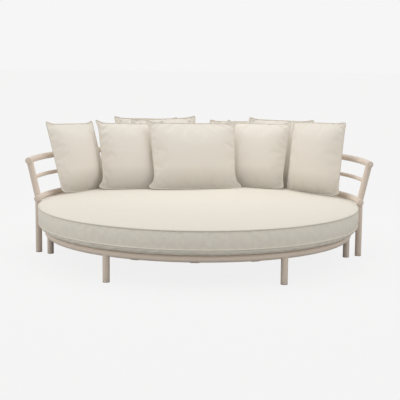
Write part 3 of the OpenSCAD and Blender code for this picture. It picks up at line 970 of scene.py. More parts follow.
@dataclass
class Pillow:
    """A scatter pillow: two panels, a piped seam and a zip at its foot.

    Side, arc and inset place it along the rail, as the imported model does; sizes are its shares of the usual height,
    front swell and back swell. Turn, lean and roll are in degrees. Draws say how far its left, right and top edges are
    drawn in between the ears.
    """

    name: str
    side: int
    arc: float
    inset: tuple[float, float, float]
    sizes: tuple[float, float, float]
    kind: Kind
    turn: float
    lean: float
    roll: float
    draws: tuple[float, float, float] = (0.09, 0.09, 0.085)
    seed: int = 1
    ear_r: float = 0.030
    ear_reach: tuple[float, float] = (8.0, 8.5)
    draw_slant: float = 0.3
    fold_h: tuple[float, float] = (0.0055, 0.0024)
    fold_at: float = 0.052
    fold_reach: float = 0.034
    fold_fan: float = 1.9
    fold_turns: float = 17.0
    fold_fade: float = 0.004
    belly: float = 0.12
    fullness: float = 0.62
    laid_share: float = 0.72
    lump_share: float = 0.035
    lump_length: float = 0.30
    crease_h: float = 0.0006
    crease_length: float = 0.05
    swell_spare: float = 0.001
    seam_in: float = 0.0045
    seam_clear: float = 0.0011
    cover_clear: float = 0.0009
    piping_r: float = 0.0031
    piping_out: float = 0.0016
    piping_clear: float = 0.0005
    stitch_proud: float = 0.0004
    zip_inset: int = 6
    cells: int = 46
    cell_mix: tuple[float, float] = (0.16, 0.84)

    def __post_init__(self) -> None:
        """Works out the pillow's own directions, size and centre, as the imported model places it."""
        self.w = PLAN.middle_w if self.side == 0 else PLAN.pillow_w
        self.h = PLAN.pillow_h * self.sizes[0]
        self.front = self.kind.value[0] * self.sizes[1]
        self.back = self.kind.value[1] * self.sizes[2]
        arc = PLAN.middle_shift + self.side * (PLAN.middle_w / 2 + PLAN.pillow_w * self.arc)
        angle = arc / PLAN.row_r
        inset = sum(
            share * swell
            for share, swell in zip(self.inset, (PLAN.swell_pressed, PLAN.swell_front, PLAN.swell_free))
        )
        yaw, lean, roll = angle + math.radians(self.turn), math.radians(self.lean), math.radians(self.roll)
        level = np.array([math.cos(yaw), math.sin(yaw), 0.0])
        rearward = np.array([-math.sin(yaw), math.cos(yaw), 0.0])
        rise = UP * math.cos(lean) + rearward * math.sin(lean)
        self.thick = rearward * math.cos(lean) - UP * math.sin(lean)
        self.wide = level * math.cos(roll) + rise * math.sin(roll)
        self.up = rise * math.cos(roll) - level * math.sin(roll)
        self.centre = PLAN.at(math.degrees(angle), PLAN.row_r - inset, PLAN.top_rail_z)
        marks = np.sin(np.linspace(-math.pi / 2, math.pi / 2, PLAN.pillow_steps + 1))
        a, b = np.meshgrid(marks, marks, indexing="ij")
        full = (np.maximum(0, 1 - a * a) * np.maximum(0, 1 - b * b)) ** (PLAN.pillow_fullness / 2)
        u = a * self.w / 2 * (1 - PLAN.side_draw * (1 - b**PLAN.flare_power))
        v = self.drop(a, b, self.h, PLAN.top_draw)
        half = [PLAN.pillow_rim_t / 2 + (s - PLAN.pillow_rim_t / 2) * full for s in (self.front, self.back)]
        shape = np.concatenate([self.spread(u, v, -half[0]), self.spread(u, v, half[1])]).reshape(-1, 3)
        for _ in range(4):
            points = shape + self.centre
            least = np.min(points[:, 2] - PLAN.crown(PLAN.radius(points)))
            self.centre = self.centre + self.up * ((-PLAN.pillow_sink - least) / self.up[2])

    @staticmethod
    def drop(a: Points, b: Points, height: float, top_draw: float) -> Points:
        """Returns the height of each place on a panel: the top edge dips and the base sags."""
        dip = 1 - top_draw * (1 - a**PLAN.flare_power)
        return b * height / 2 * np.where(b > 0, dip, 1 + PLAN.base_sag * (1 - a * a))

    def spread(self, u: Points, v: Points, t: Points) -> Points:
        """Returns points from how far they lie along the width, the height and the thickness."""
        return u[..., None] * self.wide + v[..., None] * self.up + t[..., None] * self.thick

    @property
    def body(self) -> str:
        """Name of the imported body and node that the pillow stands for."""
        return "pillow_" + self.name

    def grid(self) -> tuple[Points, Points]:
        """Returns the panels' shares of width and height, closer together towards the seam."""
        counts = (round(self.cells * self.w / PLAN.pillow_w), self.cells)
        marks = []
        for count in counts:
            t = np.linspace(-1, 1, count + 1)
            marks.append(self.cell_mix[0] * t + self.cell_mix[1] * np.sin(t * math.pi / 2))
        a, b = np.meshgrid(*marks, indexing="ij")
        return a, b

    def outline(self, a: Points, b: Points) -> tuple[Points, Points]:
        """Returns the cut of a panel: sides drawn in between round ears."""
        left, right, top = self.draws
        half = self.w / 2
        ear = EAR_ROUND * self.ear_r / half
        ear_v = EAR_ROUND * self.ear_r / (self.h / 2)
        side = np.where(a < 0, left, right) * (1 - self.draw_slant * b)
        reach = np.where(b < 0, *self.ear_reach)
        u = a * (half - self.seam_in) * (1 - side * (1 - np.abs(b) ** reach))
        u = u * (1 - ear * np.abs(b) ** ((1 - ear) / ear))
        sag = PLAN.base_sag * (1 - a * a)
        dip = -top * (1 - np.abs(a) ** self.ear_reach[1])
        v = b * (self.h / 2 - self.seam_in) * (1 + np.where(b > 0, dip, sag))
        return u, v * (1 - ear_v * np.abs(a) ** ((1 - ear_v) / ear_v))

    def gathers(self, a: Points, b: Points, u: Points, v: Points) -> Points:
        """Returns how far the folds that run out of the four ears stand up from a panel."""
        rise = np.zeros(a.shape)
        for ca in (-1, 1):
            for cb, strength in zip((-1, 1), self.fold_h):
                tip = (ca * self.w / 2, cb * self.h / 2)
                away = np.hypot(u - tip[0], v - tip[1])
                heading = np.arctan2(-cb * (v - tip[1]) / self.h, -ca * (u - tip[0]) / self.w) - math.pi / 4
                fan = np.cos(np.clip(heading * self.fold_fan, -1.5, 1.5))
                spread = np.exp(-(((away - self.fold_at) / self.fold_reach) ** 2)) * fan
                rise += strength * spread * np.cos(heading * self.fold_turns + self.seed + ca + 2 * cb)
        edge = (1 - np.abs(a)) * (1 - np.abs(b))
        return rise * (1 - np.exp(-edge / self.fold_fade))

    def lay(self) -> Settling:
        """Lays the two panels together as a slightly slack cover, ready to settle.

        Returns:
            The cover with its pinned seam.
        """
        a, b = self.grid()
        u, v = self.outline(a, b)
        low = b + self.belly * (1 - b * b)
        full = (np.maximum(0, 1 - a * a) * np.maximum(0, 1 - low * low)) ** self.fullness
        rows, columns = a.shape
        on_rim = (np.abs(a) > 0.9999) | (np.abs(b) > 0.9999)
        depths = []
        for k, swell in enumerate((self.front, self.back)):
            lumps = 1 + self.lump_share * Waves(self.seed * 7 + k, self.lump_length).at(u, v)
            creases = Waves(self.seed * 11 + k, self.crease_length).at(u, v) * self.crease_h
            depths.append(swell * self.laid_share * full * lumps + creases * full)
        front = self.centre + self.spread(u, v, -depths[0])
        back = self.centre + self.spread(u, v, depths[1])
        first = np.arange(rows * columns).reshape(rows, columns)
        second = first.copy()
        second[~on_rim] = rows * columns + np.arange((~on_rim).sum())
        points = np.concatenate([front.reshape(-1, 3), back[~on_rim]])
        rise = self.gathers(a, b, u, v)
        self.folds = np.concatenate([-rise.ravel(), rise[~on_rim]])
        self.rim = self.walk(first)
        self.back_panel = second
        faces, places = [], []
        for numbers, flip, shift in ((first, False, 0.0), (second, True, 1.0)):
            for i in range(rows - 1):
                for j in range(columns - 1):
                    around = [(i, j), (i + 1, j), (i + 1, j + 1), (i, j + 1)]
                    if flip:
                        around.reverse()
                    faces.append([numbers[p] for p in around])
                    places += [(u[p] + shift, v[p]) for p in around]
        self.cover = lay_mesh(self.body + "_cover", points, faces)
        map_cloth(self.cover, np.array(places))
        pinned = np.zeros(len(points))
        pinned[first[on_rim]] = 1.0
        return Settling(self.cover, pinned, excess=0.022, pressure=4.0, cap=0.022)

    @staticmethod
    def walk(numbers: Points) -> list[int]:
        """Returns the seam's point numbers once round, from the lower left corner up the left side."""
        last_i, last_j = numbers.shape[0] - 1, numbers.shape[1] - 1
        around = [(0, j) for j in range(last_j)] + [(i, last_j) for i in range(last_i)]
        around += [(last_i, j) for j in range(last_j, 0, -1)] + [(i, 0) for i in range(last_i, 0, -1)]
        return [int(numbers[p]) for p in around]

    def fit(self, settled: Points) -> Points:
        """Keeps the settled cover within the pillow's space and lets it rest on the mattress.

        Args:
            settled: The cover's points after settling.

        Returns:
            The points as they stay.
        """
        points = settled.copy()
        depth = (points - self.centre) @ self.thick
        for sign, swell in ((-1, self.front), (1, self.back)):
            most = np.max(depth * sign)
            over = 1 - (swell - self.swell_spare) / max(most, 1e-6)
            ours = depth * sign > 0
            points[ours] -= (depth[ours] * over)[:, None] * self.thick
        points += self.folds[:, None] * self.thick
        seam = np.zeros(len(points), bool)
        seam[self.rim] = True
        clear = np.where(seam, self.piping_r + self.seam_clear, self.cover_clear)
        points[:, 2] = np.maximum(points[:, 2], PLAN.crown(PLAN.radius(points)) + clear)
        return points

    def dress(self, settled: Points, finishes: Finishes) -> None:
        """Gives the settled cover its seam, piping, the stitches of its zip and finish.

        Args:
            settled: The cover's points after settling.
            finishes: The daybed's materials.
        """
        points = self.fit(settled)
        cover = self.cover
        write_points(cover.data, points)
        crease_seam(cover, set(self.rim), 0.9)
        cover.data.materials.append(finishes.pillow)
        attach(cover, self.body)
        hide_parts(self.body)
        path = self.seam_path(points)
        # The pillow's piping takes the piping cloth, whose darker colour is painted shade
        piping = TOOLS.run(Tool.CORD, self.body + "_piping", [path], True, finishes.piping, radius=self.piping_r)
        self.carry(piping)
        inner = slice(self.zip_inset, -self.zip_inset)
        seams = [points[self.back_panel[inner, row]] + self.thick * self.stitch_proud for row in (3, 2)]
        thread = TOOLS.run(Tool.STITCH, self.body + "_zip_stitches", seams, False, finishes.thread)
        self.carry(thread)
        log.info("%s: cover %d faces, %s", self.body, len(cover.data.polygons), self.kind.name)

    def carry(self, piece: bpy.types.Object) -> None:
        """Lets a piece ride on the pillow."""
        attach(piece, self.body)

    def seam_path(self, points: Points) -> Points:
        """Returns the piping's middle line, just outside the seam."""
        seam = points[self.rim]
        ahead = np.roll(seam, -2, 0) - np.roll(seam, 2, 0)
        outward = np.cross(ahead, self.thick)
        outward /= np.linalg.norm(outward, axis=1, keepdims=True)
        if np.sum(outward * (seam - self.centre)) < 0:
            outward = -outward
        path = seam + outward * self.piping_out
        path[:, 2] = np.maximum(path[:, 2], PLAN.crown(PLAN.radius(path)) + self.piping_r + self.piping_clear)
        return path


PILLOWS: tuple[Pillow, ...] = (
    Pillow(
        "end_left", 1, 1.424, inset=(0, 0, 1.22), sizes=(0.98, 1.04, 1), kind=Kind.END,
        turn=-1.6, lean=18.6, roll=-2.5, draws=(0.03, 0.02, 0.11), seed=3,
    ),
    Pillow(
        "front_left", 1, 0.617, inset=(4.67, 1, 0), sizes=(0.99, 0.97, 1.04), kind=Kind.FRONT,
        turn=-21.9, lean=22.2, roll=-1.3, draws=(0.14, 0.08, 0.13), seed=5,
    ),
    Pillow(
        "middle", 0, 0, inset=(6.24, 2, 0), sizes=(0.985, 1, 1), kind=Kind.FRONT,
        turn=10.7, lean=20.7, roll=-1.1, draws=(0.13, 0.12, 0.12), seed=8,
    ),
    Pillow(
        "front_right", -1, 0.527, inset=(3.31, 1, 0), sizes=(0.98, 0.97, 1.04), kind=Kind.FRONT,
        turn=5.4, lean=20.2, roll=0.6, draws=(0.08, 0.08, 0.13), seed=13,
    ),
    Pillow(
        "end_right", -1, 1.769, inset=(1.2, 0, 1.29), sizes=(0.97, 1.04, 1), kind=Kind.END,
        turn=11.1, lean=8, roll=2, draws=(0.02, 0.05, 0.06), seed=17,
    ),
    Pillow(
        "rear_left", 1, -0.006, inset=(1.42, 0, 0), sizes=(1.01, 1, 1), kind=Kind.REAR,
        turn=0.2, lean=21.6, roll=-1.8, seed=21,
    ),
    Pillow(
        "rear_centre_left", 1, -0.24, inset=(3.9, 0, 0), sizes=(1.02, 0.9, 0.9), kind=Kind.REAR,
        turn=1.4, lean=23.4, roll=1.7, seed=24,
    ),
    Pillow(
        "rear_centre_right", -1, 0.083, inset=(1.16, 0, 0), sizes=(0.98, 0.84, 0.72), kind=Kind.REAR,
        turn=0.1, lean=22.5, roll=1.4, seed=29,
    ),
    Pillow(
        "rear_right", -1, 0.775, inset=(2.18, 0, 0), sizes=(1.01, 1, 1), kind=Kind.REAR,
        turn=13.7, lean=20.1, roll=-0.6, seed=33,
    ),
)


# Mattress


@dataclass
class Mattress:
    """The round mattress: a crowned top, a boxing band between two piped seams, and a rounded underside."""

    around: int = 480
    inner_rows: tuple[float, ...] = (0.72, 0.76)
    edge_w: float = 0.21
    edge_rows: int = 19
    band_rows: int = 11
    round_rows: int = 8
    under_rows: tuple[float, ...] = (0.90, 0.82)
    least_ring: int = 16
    ring_step: float = 0.14
    ring_share: float = 0.45
    cover_gap: float = 0.0005
    seam_in: float = 0.0028
    uneven: float = 0.0004
    uneven_length: float = 0.055
    slack_h: float = 0.0009
    slack_length: float = 0.42
    piping_r: float = 0.0034
    piping_step: float = 0.008
    piping_points: int = 720
    piping_wander: float = 0.0003
    zip_half_angle: float = 66.0
    tape_levels: tuple[tuple[float, float], ...] = (
        (-0.012, 0.0012), (-0.011, 0.0021), (0.011, 0.0021), (0.012, 0.0012)
    )
    tape_cell: float = 0.013
    stitch_rows: tuple[float, ...] = (0.95, 0.72, 0.28, 0.05)
    seed: int = 41

    def outline(self) -> tuple[Points, Points]:
        """Draws one side of the cover from the middle of the top to the middle of the underside.

        Returns:
            Radius and height of each row of points. It also keeps which rows are seams and which settle.
        """
        plan = PLAN
        edge = plan.mattress_r - self.seam_in
        outer = plan.mattress_r - self.edge_w * (1 - np.linspace(0, 1, self.edge_rows)) ** 1.35
        top_r = np.concatenate([self.inner_rows, np.minimum(outer, edge)])
        top = [(r, float(plan.crown(r * plan.mattress_r / edge)) - self.cover_gap) for r in top_r]
        band = []
        for k in range(1, self.band_rows + 1):
            swell = (plan.boxing_swell + 0.001) * math.sin(math.pi * k / self.band_rows)
            band.append((edge + swell, plan.welt_top_z - plan.boxing_h * k / self.band_rows))
        under = []
        for k in range(1, self.round_rows + 1):
            turn = math.radians(90 - 90 * k / self.round_rows)
            radius = plan.mattress_r - plan.under_w + (plan.under_w - self.seam_in) * math.sin(turn)
            under.append((radius, plan.welt_low_z - plan.under_h * math.cos(turn)))
        under += [(r, plan.under_z) for r in self.under_rows]
        rows = np.array(top + band + under)
        self.top_seam = len(top) - 1
        self.low_seam = self.top_seam + self.band_rows
        self.soft = (len(self.inner_rows), self.low_seam + self.round_rows)
        return rows[:, 0], rows[:, 1]

    def lay(self) -> Settling:
        """Lays the part of the cover that settles, from the edge of the top to the edge of the underside.

        Returns:
            The ring of cover with its pinned seams.
        """
        radius, height = self.outline()
        turn = np.arange(self.around) * 2 * math.pi / self.around
        r, t = np.meshgrid(radius, turn, indexing="ij")
        z = np.repeat(height[:, None], self.around, 1)
        middle = (self.top_seam + self.low_seam) / 2
        away = np.abs((np.arange(len(radius)) - middle) / (self.low_seam - self.top_seam))
        loose = np.clip(1.6 - away, 0, 1)[:, None]
        fine = Waves(self.seed, self.uneven_length).at(t * PLAN.mattress_r, z * 1.3)
        r = r + self.uneven * fine * loose
        top = (np.arange(len(radius)) < self.top_seam)[:, None]
        z = z - np.where(top, self.slack(-r * np.sin(t), r * np.cos(t)), 0)
        points = np.stack([-r * np.sin(t), r * np.cos(t) + PLAN.centre_y, z], -1)
        self.rows = points
        first, last = self.soft
        band = points[first : last + 1]
        self.ring = self.skin(band, "mattress_ring")
        pinned = np.zeros(band.shape[:2])
        pinned[[0, -1, -2]] = 1.0
        pinned[1] = 0.7
        pinned[[self.top_seam - first, self.low_seam - first]] = 1.0
        return Settling(self.ring, pinned.ravel(), excess=0.012, pressure=3.0, cap=0.006)

    def skin(self, rows: Points, name: str, poles: bool = False) -> bpy.types.Object:
        """Covers rows of points with faces, closed at the middle where asked.

        Args:
            rows: Points by row and by place round the axis.
            name: Name of the object.
            poles: Whether the first and last rows are closed with a point.

        Returns:
            The object with its cloth map.
        """
        count, around = rows.shape[:2]
        points = rows.reshape(-1, 3)
        radius, height = PLAN.radius(rows), rows[..., 2]
        steps = np.linalg.norm(np.diff(np.stack([radius.mean(1), height.mean(1)], 1), axis=0), axis=1)
        down = np.concatenate([[0], np.cumsum(steps)])
        faces, places = [], []
        for i in range(count - 1):
            band = self.top_seam <= i < self.low_seam
            for j in range(around):
                k = (j + 1) % around
                faces.append([i * around + j, (i + 1) * around + j, (i + 1) * around + k, i * around + k])
                corners = [(i, j, j), (i + 1, j, j), (i + 1, k, j + 1), (i, k, j + 1)]
                for row, at, turn in corners:
                    if band:
                        places.append((turn * 2 * math.pi / around * PLAN.mattress_r, down[row]))
                    else:
                        places.append((rows[row, at, 0], rows[row, at, 1]))
        if poles:
            for row, flip in ((0, False), (count - 1, True)):
                points, more = self.close_middle(points, row * around, around, flip)
                faces += more
                places += [(points[v, 0], points[v, 1]) for face in more for v in face]
        made = lay_mesh(name, points, faces)
        map_cloth(made, np.array(places))
        return made

    def close_middle(self, points: Points, start: int, count: int, flip: bool) -> tuple[Points, list[list[int]]]:
        """Closes a round hole with rings of half as many points each, down to one point in the middle.

        Args:
            points: All points so far.
            start: Number of the hole's first point.
            count: How many points the hole has.
            flip: Whether the faces look down, as the underside's do.

        Returns:
            The points with the new ones added, and the new faces.
        """
        faces: list[list[int]] = []
        reach = float(PLAN.radius(points[start]))
        while True:
            fine = [start + k for k in range(count)]
            last = count % 2 or count <= self.least_ring
            here = len(points)
            count = 1 if last else count // 2
            reach = 0.0 if last else max(reach - self.ring_step, reach * self.ring_share)
            turn = np.arange(count) * 2 * math.pi / count
            x, y = -reach * np.sin(turn), reach * np.cos(turn)
            level = np.full(count, points[start, 2])
            if not flip:
                level = PLAN.crown(np.hypot(x, y)) - self.cover_gap - self.slack(x, y)
            ring = np.stack([x, y + PLAN.centre_y, level], 1)
            points = np.concatenate([points, ring])
            if last:
                faces += [[here, fine[k], fine[(k + 1) % len(fine)]] for k in range(len(fine))]
                break
            for k in range(count):
                n = (k + 1) % count
                faces.append([here + k, fine[2 * k], fine[2 * k + 1], fine[(2 * k + 2) % len(fine)], here + n])
            start = here
        return points, [f[::-1] for f in faces] if flip else faces

    def slack(self, x: Points, y: Points) -> Points:
        """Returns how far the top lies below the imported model's crown, measured from the mattress's axis."""
        far = (np.hypot(x, y) / PLAN.mattress_r) ** 8
        return self.slack_h * (1 + Waves(self.seed + 1, self.slack_length).at(x, y)) * np.maximum(0, 1 - far)

    def dress(self, settled: Points, finishes: Finishes) -> None:
        """Builds the whole cover from the settled ring, with its piping, zip and finish.

        Args:
            settled: The ring's points after settling.
            finishes: The daybed's materials.
        """
        first, last = self.soft
        rows = self.rows.copy()
        band = settled.reshape(last + 1 - first, self.around, 3)
        rows[first : last + 1] = band
        radius = PLAN.radius(rows)
        top = np.arange(len(rows))[:, None] <= self.top_seam
        ceiling = np.where(top, PLAN.crown(radius) + 0.0002, 1.0)
        rows[..., 2] = np.minimum(rows[..., 2], ceiling)
        rows[..., 2] = np.maximum(rows[..., 2], PLAN.under_z)
        most = PLAN.mattress_r + PLAN.boxing_swell + 0.0012
        pull = np.minimum(1.0, most / np.maximum(radius, 1e-6))
        rows[..., 0] *= pull
        rows[..., 1] = (rows[..., 1] - PLAN.centre_y) * pull + PLAN.centre_y
        bpy.data.objects.remove(self.ring)
        cover = self.skin(rows, "mattress_cover_sewn", poles=True)
        seams = {r * self.around + j for r in (self.top_seam, self.low_seam) for j in range(self.around)}
        crease_seam(cover, seams, 0.8)
        cover.data.materials.append(finishes.mattress)
        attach(cover, "mattress")
        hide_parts("mattress_cover", "mattress_foam")
        log.info("mattress cover: %d faces", len(cover.data.polygons))
        # The top piping takes the piping cloth, whose darker colour is painted shade; the bottom piping keeps the
        # plain cream
        self.add_piping("top", PLAN.welt_top_z, finishes.piping)
        self.add_piping("bottom", PLAN.welt_low_z, finishes.low_piping)
        self.add_zip(rows, finishes)

    def add_piping(self, label: str, height: float, finish: bpy.types.Material) -> None:
        """Adds the piping of one seam.

        Args:
            label: Which seam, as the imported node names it.
            height: Height of the seam.
            finish: The piping's cloth.
        """
        angles = np.linspace(0, 2 * math.pi, self.piping_points, endpoint=False)
        wander = Waves(self.seed + 5, 0.5).at(angles, np.full(angles.shape, height)) * self.piping_wander
        x, y = -np.sin(angles) * PLAN.mattress_r, np.cos(angles) * PLAN.mattress_r + PLAN.centre_y
        path = np.stack([x, y, height + wander], 1)
        sizes = {"radius": self.piping_r, "step": self.piping_step}
        piping = TOOLS.run(Tool.CORD, "mattress_piping_" + label + "_cord", [path], True, finish, **sizes)
        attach(piping, "mattress")
        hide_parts("mattress_piping_" + label)
        log.info("mattress piping %s: %d faces", label, len(piping.data.polygons))

    def add_zip(self, rows: Points, finishes: Finishes) -> None:
        """Adds the zip in the boxing behind the back frame: tape, teeth, slider and stitches.

        Args:
            rows: The finished cover's points.
            finishes: The daybed's materials.
        """
        half = round(self.zip_half_angle / 360 * self.around)
        places = np.arange(-half, half + 1) % self.around
        middle = (self.top_seam + self.low_seam) // 2
        out = rows[middle, places] - np.array([0, PLAN.centre_y, 0])
        out[:, 2] = 0
        out /= np.linalg.norm(out, axis=1, keepdims=True)
        span = []
        for drop, proud in self.tape_levels:
            share = drop / (PLAN.boxing_h / (self.low_seam - self.top_seam))
            low = int(math.floor(share))
            mix = share - low
            line = rows[middle - low, places] * (1 - mix) + rows[middle - low - 1, places] * mix
            span.append(line + out * proud)
        tape_rows = np.array(span)
        count = len(places)
        faces = [
            [r * count + j, r * count + j + 1, (r + 1) * count + j + 1, (r + 1) * count + j]
            for r in range(len(span) - 1)
            for j in range(count - 1)
        ]
        tape = lay_mesh("mattress_zip_tape", tape_rows.reshape(-1, 3), [list(reversed(f)) for f in faces])
        run = np.tile(np.arange(count) * self.tape_cell, len(span))
        down = np.repeat([level for level, _ in self.tape_levels], count)
        map_cloth(tape, np.stack([run, down], 1)[[v for f in faces for v in reversed(f)]])
        tape.data.materials.append(finishes.mattress)
        line = (tape_rows[1] + tape_rows[2]) / 2 + out * 0.0004
        teeth = TOOLS.run(Tool.TEETH, "mattress_zip_teeth", [line], False, finishes.zip)
        seams = [tape_rows[1] * s + tape_rows[2] * (1 - s) + out * 0.0002 for s in self.stitch_rows]
        thread = TOOLS.run(Tool.STITCH, "mattress_zip_stitches", seams, False, finishes.thread)
        slider = self.build_slider(line[3], line[6], out[3], finishes)
        for piece in (tape, teeth, thread, slider):
            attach(piece, "mattress")
        log.info("mattress zip: %d teeth faces", len(teeth.data.polygons))

    @staticmethod
    def build_slider(at: Points, ahead: Points, out: Points, finishes: Finishes) -> bpy.types.Object:
        """Builds the zip's slider with its pull, standing on the teeth and hanging down.

        Args:
            at: Where the slider stands.
            ahead: A point further along the teeth.
            out: The direction away from the mattress.
            finishes: The daybed's materials.

        Returns:
            The slider.
        """
        along = (ahead - at) / np.linalg.norm(ahead - at)
        down = np.cross(along, out)
        if down[2] > 0:
            down = -down
        made = SolidParts()
        base = at + out * 0.0022
        body, bridge, puller = base, base + out * 0.0021, base + down * 0.013 + out * 0.0019
        for middle, (long, wide, thick), taper in (
            (body, (0.0085, 0.0044, 0.0012), 0.8),
            (bridge, (0.0045, 0.0014, 0.0010), 0.8),
            (puller, (0.0028, 0.0125, 0.0006), 0.85),
        ):
            made.add_slab(middle, along * long, down * wide, out * thick, taper)
        piece = made.build("mattress_zip_slider")
        piece.data.materials.append(finishes.steel)
        return piece


class SolidParts:
    """Gathers small closed solids into one mesh."""

    corner_power = 0.45

    def __init__(self) -> None:
        """Starts empty."""
        self.points: list[Points] = []
        self.faces: list[list[int]] = []

    def add_slab(self, middle: Points, long: Points, wide: Points, thick: Points, taper: float = 0.9) -> None:
        """Adds a rounded slab: a block whose outer faces are drawn in, with softened corners.

        Args:
            middle: Its middle.
            long: Half its length, as a direction.
            wide: Half its width, as a direction.
            thick: Half its thickness, as a direction.
            taper: Share of its length and width that the outer faces keep.
        """
        turn = np.arange(16) * math.pi / 8
        x = np.sign(np.cos(turn)) * np.abs(np.cos(turn)) ** self.corner_power
        y = np.sign(np.sin(turn)) * np.abs(np.sin(turn)) ** self.corner_power
        rings = []
        for level, share in ((-1.0, taper), (-0.55, 1.0), (0.55, 1.0), (1.0, taper)):
            rings.append(middle + (x * share)[:, None] * long + (y * share)[:, None] * wide + thick * level)
        self.add_rings(rings, np.cross(long, wide) @ thick > 0)

    def add_rings(self, rings: Sequence[Points], forward: bool = True) -> None:
        """Adds a closed solid through rings of equal count, capped at both ends.

        Args:
            rings: The rings, one after another along the solid.
            forward: Whether the rings turn counterclockwise about the way they follow.
        """
        start = sum(len(p) for p in self.points)
        count = len(rings[0])
        self.points += [np.asarray(r, float) for r in rings]
        faces = [[start + k for k in range(count)][::-1]]
        for r in range(len(rings) - 1):
            for k in range(count):
                n = (k + 1) % count
                a, b = start + r * count, start + (r + 1) * count
                faces.append([a + k, a + n, b + n, b + k])
        faces.append([start + (len(rings) - 1) * count + k for k in range(count)])
        self.faces += faces if forward else [f[::-1] for f in faces]

    def build(self, name: str) -> bpy.types.Object:
        """Makes the gathered solids one object."""
        return lay_mesh(name, np.concatenate(self.points), self.faces, smooth=False)


# Frame


